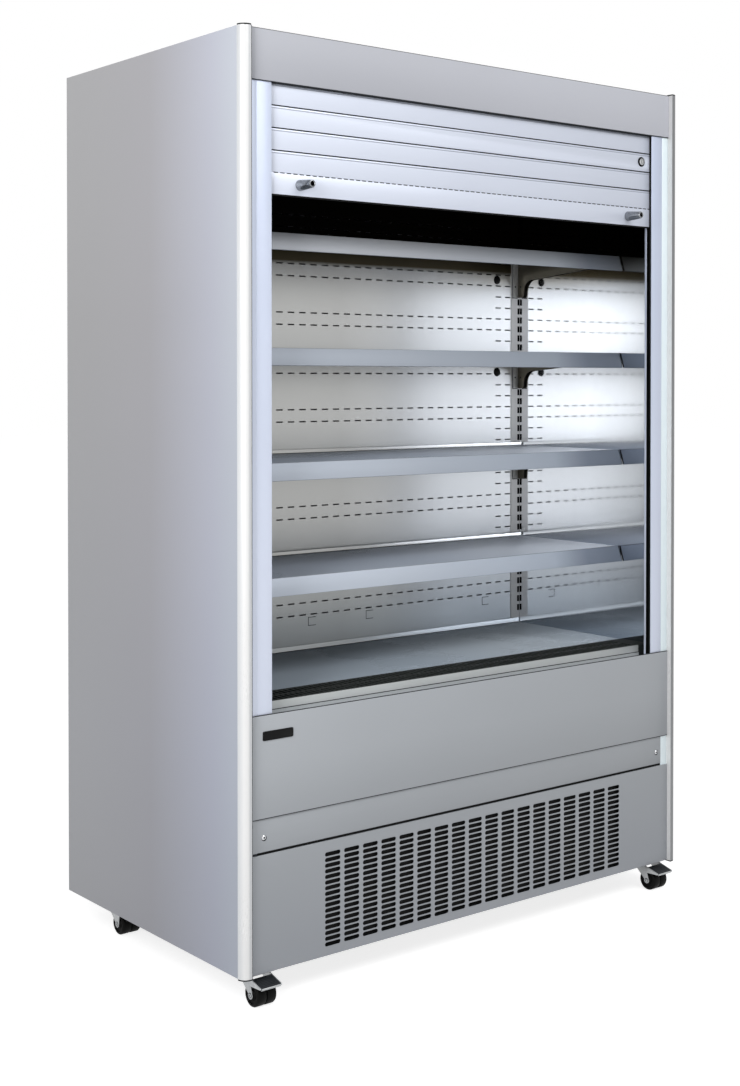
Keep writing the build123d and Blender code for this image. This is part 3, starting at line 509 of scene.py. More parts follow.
# The bar's back faces get painted shade in black
softEdges("bottom_bar", 0.5, anodisedSlat, others=[((0, 1, 0), blackCoatAndBackShade)])
softEdges("deck_pan", 0.4, deckSteel, others=[((0, -1, 0), brightSteelLining)])
softEdges("front_lip", 0.3, lipSteel)
softEdges("price_rails", 0.4, railSteel)
for level in (1, 2, 3, 4):
    others = [((0, 0, -1), shelfUnderside), ((0, -1, 0), brightSteelLining)]
    softEdges(f"shelf_{level}", 0.4, shelfSteel, others=others)
paint(satinSteelSide, "rear_wall", "roof_panel", "tub_floor", "tub_front", "rear_vent_cover")
paint(mirrorSteelLining, "side_liners")
paint(blackCoatAndBackShade, "air_discharge_grille", "ceiling_panel", "evaporation_tray", "electrics_box")
paint(zincPlate, "castor_plates", "shutter_barrel")
paint(darkPlant, "shutter_housing", "evaporator_fan_plate", "base_frame", "compressor", "condenser_shroud",
      "evaporator_fan_left", "evaporator_fan_right", "condenser_fan")
paint(aluminiumFins, "evaporator_coil", "condenser_coil")
paint(anodisedSlat, "shutter_roll")
paint(blackRubberAndChannelShade, "bottom_seal")
print("shell dressed")


# ---- corner profiles and their caps ----
corner = {"radius": 19, "joint": 7.5, "innerX": 642, "arcSteps": 14, "capThickness": 3, "capEdge": 0.8}


def cornerOutline(side):
    radius, joint = corner["radius"], corner["joint"]
    middle = cabinet["halfWidth"] - radius
    angles = [math.radians(-90 + 90 * i / corner["arcSteps"]) for i in range(corner["arcSteps"] + 1)]
    points = [(middle + radius * math.cos(a), joint + radius * math.sin(a)) for a in angles]
    points += [(corner["innerX"], joint), (corner["innerX"], joint - radius)]
    return [(side * x, y) for x, y in points]


def makeCorners():
    caps = bmesh.new()
    height = cabinet["height"]
    for side, name, material in ((-1, "Left", polishedProfileHighlight), (1, "Right", shadedProfile)):
        outline = cornerOutline(side)
        profile = bmesh.new()
        addPrism(profile, [at(x, y, 0) for x, y in outline], Vector((0, 0, height / 1000)))
        piece = finish(profile, f"cornerProfile{name}", material, "cabinet",
                       ["corner_profiles"], flatOver=1)
        # The face of each profile that turns towards the near side takes the painted highlight
        repaint(piece, polishedProfileHighlight, lambda face: face.normal.x < -0.9)
        for low, up in ((height, corner["capThickness"]), (0, -corner["capThickness"])):
            addPrism(caps, [at(x, y, low) for x, y in outline], Vector((0, 0, up / 1000)), corner["capEdge"])
    finish(caps, "cornerCapSet", blackNylon, "cabinet", ["corner_caps"])


trim = {"outer": 642, "front": 3, "back": 7.5, "edge": 0.4}


def makeTrims():
    for side, name, material in ((-1, "Left", anodisedUpright), (1, "Right", trimHighlight)):
        mesh = bmesh.new()
        reach = sorted((side * cabinet["trimInner"], side * trim["outer"]))
        addBlock(mesh, reach, (trim["front"], trim["back"]), (0, cabinet["headerBase"]), trim["edge"])
        finish(mesh, f"edgeTrim{name}", material, "cabinet", ["edge_trims"])


makeCorners()
makeTrims()
print("corners made")


# ---- slotted grille panel ----
grille = {
    "columns": 18, "rows": 17, "pitchX": 51.2, "pitchZ": 12, "length": 41.6, "height": 9.2, "base": 19.4,
    "offset": 8.2, "halfWidth": 642, "top": 245, "depth": 3, "sheet": 1.2, "roundSteps": 20, "edge": 0.8,
}


def addSlotCell(mesh):
    # One slot and the sheet around it, whose outer line has a point for each point of the slot
    halfX, halfZ, halfSlot = grille["pitchX"] / 2, grille["pitchZ"] / 2, grille["length"] / 2
    byAngle = {
        9: (halfX, 0.2 * halfZ), 27: (halfX, 0.6 * halfZ), 45: (halfX, halfZ),
        63: (halfSlot, halfZ), 81: (0.45 * halfSlot, halfZ),
    }
    steps, radius = grille["roundSteps"], grille["height"] / 2
    turn = Matrix.Rotation(math.pi / steps, 4, "Z")
    inner = bmesh.ops.create_circle(mesh, segments=steps, radius=radius, matrix=turn)["verts"]
    outer = bmesh.ops.create_circle(mesh, segments=steps, radius=1, matrix=turn)["verts"]
    for vert in inner:
        vert.co.x += math.copysign(halfSlot - radius, vert.co.x)
    for vert in outer:
        spot = byAngle[round(math.degrees(math.atan2(abs(vert.co.y), abs(vert.co.x))))]
        vert.co.x, vert.co.y = math.copysign(spot[0], vert.co.x), math.copysign(spot[1], vert.co.y)
    bmesh.ops.bridge_loops(mesh, edges=edgesOf(inner + outer))


def rimAt(mesh, places):
    # The open edges that lie at one of the places along an axis
    return [e for e in mesh.edges if e.is_boundary and any(
        all(abs(v.co[axis] - spot) < 0.01 for v in e.verts) for axis, spot in places)]


def addMargins(mesh):
    # The plain margins are drawn out from the field of slots, and their edges turned to the back
    limits = [(0, -grille["halfWidth"]), (0, grille["halfWidth"]), (1, 0), (1, grille["top"])]
    for axis, limit in limits:
        spots = [v.co[axis] for v in mesh.verts]
        field = min(spots) if limit <= 0 else max(spots)
        for vert in vertsOf(bmesh.ops.extrude_edge_only(mesh, edges=rimAt(mesh, [(axis, field)]))):
            vert.co[axis] = limit
    rim = rimAt(mesh, limits)
    for vert in vertsOf(bmesh.ops.extrude_edge_only(mesh, edges=rim)):
        vert.co.z = grille["depth"]
    breakEdges(mesh, rim, grille["edge"], 3)


def makeGrille():
    mesh = bmesh.new()
    addSlotCell(mesh)
    pattern = list(mesh.verts)
    cell = pattern + list(mesh.edges) + list(mesh.faces)
    middle = (grille["columns"] - 1) / 2
    baseZ = grille["base"] + grille["height"] / 2
    for i in range(grille["columns"]):
        x = grille["offset"] + (i - middle) * grille["pitchX"]
        for j in range(grille["rows"]):
            spot = Vector((x, baseZ + j * grille["pitchZ"], 0))
            bmesh.ops.translate(mesh, vec=spot, verts=vertsOf(bmesh.ops.duplicate(mesh, geom=cell)))
    bmesh.ops.delete(mesh, geom=pattern, context="VERTS")
    bmesh.ops.remove_doubles(mesh, verts=mesh.verts, dist=0.01)
    addMargins(mesh)
    for vert in mesh.verts:
        vert.co = at(vert.co.x, vert.co.z, vert.co.y)
    bmesh.ops.recalc_face_normals(mesh, faces=mesh.faces)
    faceTowards(mesh, [f for f in mesh.faces if abs(f.normal.y) > 0.9], (0, -1, 0))
    bmesh.ops.solidify(mesh, geom=mesh.faces, thickness=grille["sheet"] / 1000)
    finish(mesh, "slottedGrillePanel", satinSteelFront, "cabinet", ["grille_panel"])


makeGrille()
print("grille made")


# ---- shutter ----
shutter = {
    "face": 12, "thickness": 7, "pitch": 46.25, "barTop": 1653.5, "slats": 5, "halfWidth": 615.5,
    "shoulder": 15, "shoulderDepth": 1.6, "seamHeight": 2.4, "seamSlotPitch": 16.6, "seamSlotLength": 11,
    "seamSlotHeight": 2, "seamDepth": 3, "seamTop": 0.2, "hollow": (5.5, 8), "lineDepth": 1.6,
    "fedSlats": 22, "fedBase": 1885.5, "fedTop": 1935, "halvings": 60,
}


def makeSlats():
    # The slats' back faces get painted shade in black
    softEdges("shutter_slats", 0.35, anodisedSlat, others=[((0, 1, 0), blackCoatAndBackShade)])
    # Strips of painted shade along the seams and dashes of it at the top of the bar
    seams, hollowShades = bmesh.new(), bmesh.new()
    reach, deep = cabinet["jambInner"] + 8, shutter["lineDepth"]
    for row in range(1, shutter["slats"]):
        seam = shutter["barTop"] + row * shutter["pitch"]
        near, far = shutter["hollow"]
        y = shutter["face"] - 0.05
        addBlock(hollowShades, (-reach, reach), (y, y + 0.6), (seam - far, seam - near))
        if row < shutter["slats"] - 1:
            y = shutter["face"] + 0.15
            z = (seam - shutter["seamHeight"], seam - shutter["seamTop"])
            addBlock(seams, (-reach, reach), (y, y + deep), z)
    count = int(2 * reach / shutter["seamSlotPitch"])
    for i in range(count):
        x = -reach + (i + 0.5) * 2 * reach / count
        half = shutter["seamSlotLength"] / 2
        y = shutter["face"] - 0.12
        low = shutter["barTop"] - shutter["seamSlotHeight"]
        addBlock(seams, (x - half, x + half), (y, y + deep), (low, shutter["barTop"]))
    finish(seams, "slatSeams", paintedDarkShade, "shutter")
    finish(hollowShades, "slatHollowShades", anodisedHollowShade, "shutter")


def fedHeight(final):
    # Where a point of the unrolled curtain lies while it is still gathered behind the header
    low, high = shutter["fedBase"], shutter["fedTop"]
    for halving in range(shutter["halvings"]):
        middle = (low + high) / 2
        t = (shutter["fedTop"] - middle) / (shutter["fedTop"] - shutter["fedBase"])
        lowered = middle - cabinet["shutterTravel"] * t * t * (3 - 2 * t)
        if lowered < final:
            low = middle
        else:
            high = middle
    return (low + high) / 2


def makeFedSlats():
    # The slats that unroll behind the header as the shutter comes down
    front, back = shutter["face"], shutter["face"] + shutter["thickness"]
    start = shutter["fedBase"] - cabinet["shutterTravel"]
    outline = [(front, start)]
    for i in range(shutter["fedSlats"]):
        top = start + (i + 1) * shutter["pitch"]
        outline += [
            (front, top - shutter["shoulder"]),
            (front + 0.5, top - 3.6),
            (front + shutter["shoulderDepth"], top - shutter["seamHeight"] - 0.1),
            (front + shutter["seamDepth"], top - shutter["seamHeight"]),
            (front + shutter["seamDepth"], top - shutter["seamTop"]),
            (front, top),
        ]
    outline = [(y, fedHeight(z)) for y, z in outline]
    outline += [(front, shutter["fedTop"]), (back, shutter["fedTop"]), (back, shutter["fedBase"])]
    mesh = bmesh.new()
    half = shutter["halfWidth"]
    addPrism(mesh, [at(-half, y, z) for y, z in outline], Vector((2 * half / 1000, 0, 0)))
    bmesh.ops.recalc_face_normals(mesh, faces=mesh.faces)
    piece = addObject(mesh, "fedSlatCurtain", anodisedSlat)
    # The faces at the bottom of each seam's recess get painted shade
    depth = at(0, front + 2.8, 0).y
    repaint(piece, paintedDarkShade, lambda face: face.normal.y < -0.9 and face.center.y > depth)
    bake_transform(piece)


knob = {"spacing": 1007, "height": 1630, "base": 12, "tip": 8, "bore": 5, "length": 45, "floor": 6}


def makeKnobs():
    knobs, dark = bmesh.new(), bmesh.new()
    base, tip, bore, length, floor = (knob[key] for key in ("base", "tip", "bore", "length", "floor"))
    outline = [
        (0, 0), (base - 0.4, 0), (base, 0.6), (base, 1.5),
        (tip + 0.3, length - 1.4), (tip - 0.4, length - 0.3),
        (tip - 1.4, length), (bore + 0.6, length), (bore, length - 0.8), (bore, floor), (0, floor),
    ]
    for side in (-1, 1):
        centre = at(side * knob["spacing"] / 2, shutter["face"], knob["height"])
        addTurned(knobs, outline, centre, (0, -1, 0))
        # A dark rod of painted shade in each bore
        addRod(dark, bore - 0.1, length - 0.6, centre, (0, -1, 0), 20, floor + 0.2)
    finish(knobs, "taperedPullKnobs", knobSteel, "shutter", ["shutter_knobs"])
    finish(dark, "knobBoreShades", boreShade, "shutter")


lock = {
    "x": 552.5, "z": 1769.125, "radius": 12, "proud": 2, "plug": 6, "ring": 8.2, "depth": 14, "key": (1.6, 8),
    "keyFront": 1.78, "keyBack": 1.2,
}


def makeLock():
    centre = at(lock["x"], shutter["face"], lock["z"])
    radius, proud, plug, back = lock["radius"], lock["proud"], lock["plug"], -lock["depth"]
    case = [
        (plug + 0.05, 0.6 + back), (plug + 0.05, proud - 0.4), (plug + 0.8, proud), (radius - 1.4, proud),
        (radius, proud - 1.2), (radius, back + 2), (plug + 0.05, 0.6 + back),
    ]
    hole, rim, face = plug + 0.4, lock["ring"], proud + 0.1
    ring = [(hole, 1), (hole, face), (rim, face), (rim, 1), (hole, 1)]
    barrel = [(0, -6), (plug - 0.3, -6), (plug, -5.7), (plug, 1.2), (plug - 0.5, 1.7), (0, 1.7)]
    for name, outline, steps, material, body, replaced in (
        ("lockCollar", case, 36, boreShade, "shutter", ["lock_case"]),
        ("lockFaceRing", ring, 36, chromePlate, "shutter", []),
        ("lockPlug", barrel, 28, chromePlate, "lock", ["lock_barrel"]),
    ):
        mesh = bmesh.new()
        addTurned(mesh, outline, centre, (0, -1, 0), steps)
        finish(mesh, name, material, body, replaced)
    # The keyway is a dark block of painted shade
    slit = bmesh.new()
    width, length = lock["key"]
    addBlock(slit, (lock["x"] - width / 2, lock["x"] + width / 2),
             (shutter["face"] - lock["keyFront"], shutter["face"] - lock["keyBack"]),
             (lock["z"] - length / 2, lock["z"] + length / 2))
    finish(slit, "lockKeyway", paintedDarkShade, "lock")


makeSlats()
makeFedSlats()
makeKnobs()
makeLock()
print("shutter made")


# ---- display space ----
backPanel = {
    "halfWidth": 625, "front": 525, "low": 536, "high": 1746, "sheet": 1.2, "rim": 171,
    "dash": (20, 3.5), "columnReach": 580, "columnPitch": 35.15, "columns": 34, "edgeColumns": 2,
    "topRow": 1693.5, "rowStep": 30.25, "rows": 36, "plugRadius": 12, "plugs": (540, (1498, 1245)),
    "tabs": ((-106, 606), (79, 606), (485, 606)), "tab": (24, 22), "shadeFrom": 1555, "markRow": 690,
}


def makeBackPanel():
    spec = backPanel
    columns = [-spec["columnReach"] + i * spec["columnPitch"] for i in range(spec["columns"])]
    rows = [spec["topRow"] - i * spec["rowStep"] for i in range(spec["rows"])]
    halfDash, halfHeight = spec["dash"][0] / 2, spec["dash"][1] / 2
    dashEnds = [c + s * halfDash for c in columns for s in (-1, 1)]
    xs = sorted([-spec["halfWidth"], spec["halfWidth"]] + dashEnds)
    zs = sorted([spec["low"], spec["high"]] + [r + s * halfHeight for r in rows for s in (-1, 1)])

    def isOpen(x, z):
        for i, row in enumerate(rows):
            if abs(z - row) < halfHeight:
                paired = i % 4 in (2, 3)
                for j, column in enumerate(columns):
                    if abs(x - column) < halfDash:
                        atEdge = min(j, len(columns) - 1 - j) < spec["edgeColumns"]
                        return paired or atEdge
        return False

    mesh = bmesh.new()
    front, back = spec["front"], spec["front"] + spec["sheet"]
    addSlottedSheet(mesh, xs, zs, isOpen, lambda x, z: at(x, front, z), (0, -1, 0), spec["sheet"])
    for side in (-1, 1):
        rim = sorted((side * (spec["halfWidth"] - spec["sheet"]), side * spec["halfWidth"]))
        addBlock(mesh, rim, (back, front + spec["rim"]), (spec["low"], spec["high"]))
    piece = finish(mesh, "perforatedBackPanel", brightSteelLining, "cabinet", ["duct_panel"])
    shade = at(0, front + 3, spec["shadeFrom"])
    repaint(piece, shadedSteelLining, lambda face: face.center.z > shade.z and face.center.y < shade.y)

    plugs = bmesh.new()
    for side in (-1, 1):
        for z in spec["plugs"][1]:
            radius = spec["plugRadius"]
            outline = [(0, 3), (radius * 0.6, 2.8), (radius * 0.9, 1.8), (radius, 0.4), (radius, 0), (0, 0)]
            addTurned(plugs, outline, at(side * spec["plugs"][0], spec["front"], z), (0, -1, 0), 24)
    finish(plugs, "hangerHolePlugs", blackNylon, "cabinet")

    tabs = bmesh.new()
    width, height = spec["tab"]
    for x, z in spec["tabs"]:
        y = (spec["front"] - 0.3, spec["front"])
        addBlock(tabs, (x, x + width), y, (z + height - 1.5, z + height))
        addBlock(tabs, (x, x + width), y, (z, z + 1.5))
        addBlock(tabs, (x, x + 1.5), y, (z, z + height))
        addBlock(tabs, (x + 2, x + width - 2), y, (spec["markRow"], spec["markRow"] + 3.5))
    finish(tabs, "punchedTabSlits", paintedDarkShade, "cabinet")


upright = {
    "inner": 592.7, "outer": 624.7, "front": 523.2, "low": 560, "high": 1746, "wall": 1,
    "slotX": (616.2, 624.2), "slotHeight": 17, "slotPitch": 25, "slotZ": 588.7, "rows": 46,
    "hollow": (606, 624.6),
}


def makeUprights():
    # Flush slotted strips in the corners, with a dark sheet of painted shade for the channel's hollow behind
    # the slots
    spec = upright
    mesh = bmesh.new()
    hollow = bmesh.new()
    middles = [spec["slotZ"] + i * spec["slotPitch"] for i in range(spec["rows"])]
    half = spec["slotHeight"] / 2
    zs = sorted([spec["low"], spec["high"]] + [m + s * half for m in middles for s in (-1, 1)])
    for side in (-1, 1):
        openX = sorted(side * x for x in spec["slotX"])
        xs = sorted([side * spec["inner"], side * spec["outer"]] + openX)

        def isOpen(x, z):
            return openX[0] < x < openX[1] and any(abs(z - m) < half for m in middles)

        strip = bmesh.new()
        addSlottedSheet(strip, xs, zs, isOpen, lambda x, z: at(x, spec["front"], z), (0, -1, 0), spec["wall"])
        sheet = bpy.data.meshes.new("uprightFace")
        strip.to_mesh(sheet)
        strip.free()
        mesh.from_mesh(sheet)
        bpy.data.meshes.remove(sheet)
        depth = spec["front"] + spec["wall"] + 0.1
        reach = sorted(side * x for x in spec["hollow"])
        addBlock(hollow, reach, (depth, depth + 0.5), (spec["low"] + 4, spec["high"] - 4))
    piece = finish(mesh, "slottedUprightPair", uprightSteel, "cabinet", ["shelf_uprights"])
    # Above the top shelf the strips take the painted shade of the lining
    shade = at(0, 0, backPanel["shadeFrom"]).z
    repaint(piece, shadedSteelLining, lambda face: face.center.z > shade)
    finish(hollow, "uprightHollowShade", boreShade, "cabinet")


returnGrille = {
    "front": 47.7, "back": 141.8, "top": 549, "thickness": 3, "columns": 86, "slot": 8.5, "end": 34, "web": 9,
    "legReach": 584, "legDepth": 12, "ledge": 522,
}


def makeReturnGrille():
    spec = returnGrille
    half = cabinet["linerFace"]
    pitch = 2 * (half - spec["end"]) / spec["columns"]
    columns = [-half + spec["end"] / 2 + (i + 0.5) * pitch for i in range(spec["columns"])]
    xs = sorted([-half, half] + [c + s * spec["slot"] / 2 for c in columns for s in (-1, 1)])
    middle = (spec["front"] + spec["back"]) / 2
    ys = [spec["front"], spec["front"] + spec["web"], middle - spec["web"] / 2, middle + spec["web"] / 2,
          spec["back"] - spec["web"], spec["back"]]

    def isOpen(x, y):
        inRow = ys[1] < y < ys[2] or ys[3] < y < ys[4]
        return inRow and any(abs(x - c) < spec["slot"] / 2 for c in columns)

    mesh = bmesh.new()
    front, top = spec["front"], spec["top"]
    addSlottedSheet(mesh, xs, ys, isOpen, lambda x, y: at(x, y, top), (0, 0, 1), spec["thickness"])
    for side in (-1, 1):
        leg = sorted((side * spec["legReach"], side * half))
        addBlock(mesh, leg, (front, front + spec["legDepth"]), (spec["ledge"], top - spec["thickness"]))
    finish(mesh, "slottedReturnGrille", greyPowderCoat, "cabinet", ["return_grille"])
    # A dark sheet of painted shade under the slots
    hollow = bmesh.new()
    addBlock(hollow, (6 - half, half - 6), (front + 3, spec["back"] - 3), (top - 9, top - 8))
    finish(hollow, "returnHollowShade", boreShade, "cabinet")


bracket = {
    "inner": 616.5, "thickness": 3, "root": 523, "front": 150, "armRoot": 92, "armTip": 20, "rootWidth": 18,
    "rootSheet": 2, "sheet": 1.2, "curveSteps": 8, "curve": (33, 36), "hole": 2.6, "holeDrop": 62,
    "shadow": 1.6,
}


def bracketOutline(top):
    # The side of one arm: a hooked foot, a concave sweep and the straight underside to the tip
    root, low = bracket["root"], top - bracket["armRoot"]
    outline = [(root, top), (root, low), (root - 18, low), (root - 22, low + 5)]
    across, up = bracket["curve"]
    for i in range(bracket["curveSteps"] + 1):
        angle = math.radians(90 * i / bracket["curveSteps"])
        outline.append((root - 23 - across * (1 - math.cos(angle)), low + 12 + up * math.sin(angle)))
    return outline + [(bracket["front"] + 30, top - bracket["armTip"]), (bracket["front"] + 14, top)]


def makeBrackets():
    arms, plates, holes = bmesh.new(), bmesh.new(), bmesh.new()
    inner, root, width, sheet = (bracket[key] for key in ("inner", "root", "rootWidth", "rootSheet"))
    for z in cabinet["shelfTops"]:
        top = z - bracket["sheet"]
        low, hole = top - bracket["armRoot"], top - bracket["holeDrop"]
        for side in (-1, 1):
            corners = [at(side * inner, y, h) for y, h in bracketOutline(top)]
            addPrism(arms, corners, Vector((side * bracket["thickness"] / 1000, 0, 0)), 0.3)
            x = sorted((side * (inner - width), side * inner))
            addBlock(plates, x, (root - sheet, root), (low, top), 0.6)
            # A dark outline behind each plate is a painted shadow, and dark discs are painted shade in the
            # holes
            x = sorted((side * (inner - width - bracket["shadow"]), side * inner))
            addBlock(holes, x, (root - 0.4, root), (low - 1.8, top))
            for middle, axis in (
                (at(side * (inner - 11), root - sheet, hole), (0, -1, 0)),
                (at(side * inner, root - 12, hole), (-side, 0, 0)),
            ):
                addTurned(holes, [(0, 0.1), (bracket["hole"], 0.1), (bracket["hole"], -0.5), (0, -0.5)],
                          middle, axis, 16)
    finish(arms, "cantileverBracketSet", bracketArmSteel, "cabinet", ["shelf_brackets"])
    finish(plates, "bracketRootPlates", bracketSteel, "cabinet")
    finish(holes, "bracketHoleShadesAndShadows", paintedDarkShade, "cabinet")


makeBackPanel()
makeUprights()
makeReturnGrille()
makeBrackets()
print("display space made")


# ---- small fixings and joint lines on the front ----
screw = {"radius": 5.2, "head": 1.8, "recess": 1.9, "places": ((-603, 280), (603, 280)), "face": 3}


def makeScrews():
    heads, dark = bmesh.new(), bmesh.new()
    radius, head, recess = screw["radius"], screw["head"], screw["recess"]
    outline = [
        (0, head - 1), (recess, head - 1), (recess + 0.2, head - 0.2), (radius * 0.7, head - 0.1),
        (radius, 0.4), (radius, 0), (0, 0),
    ]
    # Painted shade in each head's recess, and a dark disc a little below and beside each head as a painted
    # cast shadow
    shadow = Vector((0.0008, 0, -0.0012))
    for x, z in screw["places"]:
        spot = at(x, screw["face"], z)
        addTurned(heads, outline, spot, (0, -1, 0), 24)
        addTurned(dark, [(0, 1), (1.8, 1), (1.8, 0.4), (0, 0.4)], spot, (0, -1, 0), 16)
        disc = [(0, 0.15), (radius + 1, 0.15), (radius + 1, 0), (0, 0)]
        addTurned(dark, disc, spot + shadow, (0, -1, 0), 24)
    finish(heads, "bandScrewHeads", chromePlate, "cabinet")
    finish(dark, "bandScrewShadesAndShadows", paintedDarkShade, "cabinet")


# A bare dark plate with round corners
plate = {"x": (-608, -531), "z": (480.5, 500), "proud": 1.6, "radius": 3, "cornerSteps": 4, "edge": 0.3}


def makePlate():
    mesh = bmesh.new()
    corners = []
    for x, z, start in ((1, 1, 0), (0, 1, 90), (0, 0, 180), (1, 0, 270)):
        for i in range(plate["cornerSteps"] + 1):
            angle = math.radians(start + 90 * i / plate["cornerSteps"])
            across = plate["radius"] * (math.cos(angle) - (2 * x - 1))
            up = plate["radius"] * (math.sin(angle) - (2 * z - 1))
            corners.append(at(plate["x"][x] + across, 0, plate["z"][z] + up))
    addPrism(mesh, corners, Vector((0, -plate["proud"] / 1000, 0)), plate["edge"])
    finish(mesh, "barePlate", blackNylon, "cabinet")


joints = {
    "cover": 642, "profileEdge": 640.8, "band": (250, 319), "panel": (320, 534), "proud": -0.12, "deep": 2.9,
    "kerbHalf": 583, "kerbBack": 45, "kerb": (522.2, 531), "rears": ((512, 790), (512, 1041.5), (523, 548)),
    "rearHalf": 616, "railEnd": (620.2, 2.2),
    "railSection": ((136.4, -37.4), (148.6, -0.3), (152, -0.3), (140, -37.4)),
}


def makeJointLines():
    # Narrow gaps between the covers, drawn as strips of painted shade for the dark space that shows through
    # them
    cover, proud, deep, jamb = joints["cover"], joints["proud"], joints["deep"], cabinet["jambInner"]
    base, top = cabinet["headerBase"], cabinet["height"]
    low, high = joints["panel"]
    half, back = joints["kerbHalf"], joints["kerbBack"]
    kerbLow, kerbTop = joints["kerb"]
    lines = bmesh.new()
    for x, y, z in (
        ((-cover, cover), (proud, 2.6), (low - 1, low + 0.3)),
        ((-cover, cover), (proud, deep), (high - 1.1, high)),
        ((-cover, cover), (0.4, deep), (base - 1.4, base)),
        ((-jamb, jamb), (3, 11.7), (base - 2.6, base)),
        ((-cover, cover), (proud, 0.6), (top - 1.1, top)),
        ((-cover, -joints["profileEdge"]), (-11.6, -10.4), (0, top)),
        ((-half, half), (back - 1.4, back), (kerbTop, kerbTop + 1.4)),
        ((-cover, -cabinet["trimInner"]), (2.4, 3), (245.2, joints["band"][0])),
    ):
        addBlock(lines, x, y, z)
    finish(lines, "coverJointLines", paintedDarkShade, "cabinet")
    kerb = bmesh.new()
    addBlock(kerb, (-half, half), (back - 1.3, back), (kerbLow, kerbTop))
    finish(kerb, "kerbStrip", lipSteel, "cabinet")
    band = bmesh.new()
    addBlock(band, (-cover, -cabinet["trimInner"]), (2.2, 3), joints["band"], 0.2)
    finish(band, "bandEnd", satinSteelFront, "cabinet")


def makeShelfJoints():
    # Painted shade: the dark ends of the price rails, and the shade behind the lower shelves and the deck
    mesh = bmesh.new()
    reach, thickness = joints["railEnd"]
    for z in cabinet["shelfTops"]:
        for side in (-1, 1):
            spots = [at(side * reach, y, z + h) for y, h in joints["railSection"]]
            addPrism(mesh, spots, Vector((side * thickness / 1000, 0, 0)))
    half = joints["rearHalf"]
    for back, z in joints["rears"]:
        addBlock(mesh, (-half, half), (back - 3.4, back - 1), (z - 0.2, z + 1.2))
    finish(mesh, "shelfRearJoints", paintedDarkShade, "cabinet")


dust = {"x": 618, "y": (8.2, 9.4), "z": (21, 249.6), "stripX": 641, "stripY": (4.4, 7.4), "stripBase": 244}
railChannelShade = {
    "x": (583, 617), "y": (19.45, 19.95), "z": (523, 1835), "jambGap": (582.4, 584), "jambGapY": (5.6, 11.7),
}


def makeDarkSheets():
    # A dust filter close behind the slots, with a strip of painted shade in the gap above the grille
    sheet = bmesh.new()
    addBlock(sheet, (-dust["x"], dust["x"]), dust["y"], dust["z"], 0.2)
    addBlock(sheet, (-dust["stripX"], dust["stripX"]), dust["stripY"], (dust["stripBase"], dust["z"][1]))
    finish(sheet, "dustFilterAndGapShade", blackRubberAndChannelShade, "cabinet")
    # Dark sheets of painted shade in the rails' channels, behind the slats and beside the jambs
    strips = bmesh.new()
    for side in (-1, 1):
        addBlock(strips, sorted(side * v for v in railChannelShade["x"]), railChannelShade["y"], railChannelShade["z"])
        addBlock(strips, sorted(side * v for v in railChannelShade["jambGap"]), railChannelShade["jambGapY"], railChannelShade["z"])
    finish(strips, "railChannelShadeSheets", blackRubberAndChannelShade, "cabinet")


makeScrews()
makePlate()
makeJointLines()
makeShelfJoints()
makeDarkSheets()
print("fixings made")


# ---- castors ----
castor = {
    "x": 605, "front": 37, "rear": 586, "trail": 25, "axleZ": -43, "radius": 25, "width": 24, "gap": 1,
    "axle": 4, "forkTop": -7.3, "forkInner": 24.8, "forkSheet": 2, "bridge": (-18, 20), "boss": 8,
    "pinY": -30, "pinZ": -12.8, "pin": 2, "knuckle": 4, "nose": 6, "arm": 26, "armDrop": 6.4,
    "pedalHalf": 24, "pedalLength": 36, "pedalSlope": 16, "pedalLip": 5, "ribs": 7,
}


def makeWheels(name, node, x, y):
    mesh = bmesh.new()
    width, radius, bore = castor["width"], castor["radius"], castor["axle"] + 0.05
    outline = [
        (bore, 1), (10, 1), (11, 0), (radius - 3.5, 0), (radius - 1.2, 0.8), (radius, 3),
        (radius, width - 4), (radius - 1, width - 2), (radius - 3.5, width - 0.4), (radius - 6, width - 0.4),
        (radius - 7, width - 3), (12, width - 4), (9, width - 0.6), (bore, width - 0.6), (bore, 1),
    ]
    for side in (-1, 1):
        centre = at(x + side * castor["gap"] / 2, y - castor["trail"], castor["axleZ"])
        addTurned(mesh, outline, centre, (side, 0, 0), 40)
    finish(mesh, f"twinWheels{name}", treadRubber, node, [node])


def legOutline(braked):
    # The side of one leg of the fork. On a braked castor an arm reaches out under the pedal
    top, trail, axleZ, boss = castor["forkTop"], castor["trail"], castor["axleZ"], castor["boss"]
    pinY, pinZ, back = castor["pinY"], castor["pinZ"], castor["bridge"][1]
    nose = pinY - castor["nose"]
    outline = [(nose, pinZ - 3), (nose, pinZ + 3), (nose + 3, top), (back, top)]
    if braked:
        y, z = nose - castor["arm"], pinZ - castor["armDrop"]
        outline = [
            (nose + 9, pinZ - 11), (y + 1, z - 3), (y - 1.5, z - 2), (y - 2, z - 0.4), (y - 0.6, z + 1.2),
            (pinY, pinZ + 3.2), (nose + 14, top), (back, top),
        ]
    angles = [math.radians(20 - 200 * i / 8) for i in range(9)]
    return outline + [(-trail + boss * math.cos(a), axleZ + boss * math.sin(a)) for a in angles]


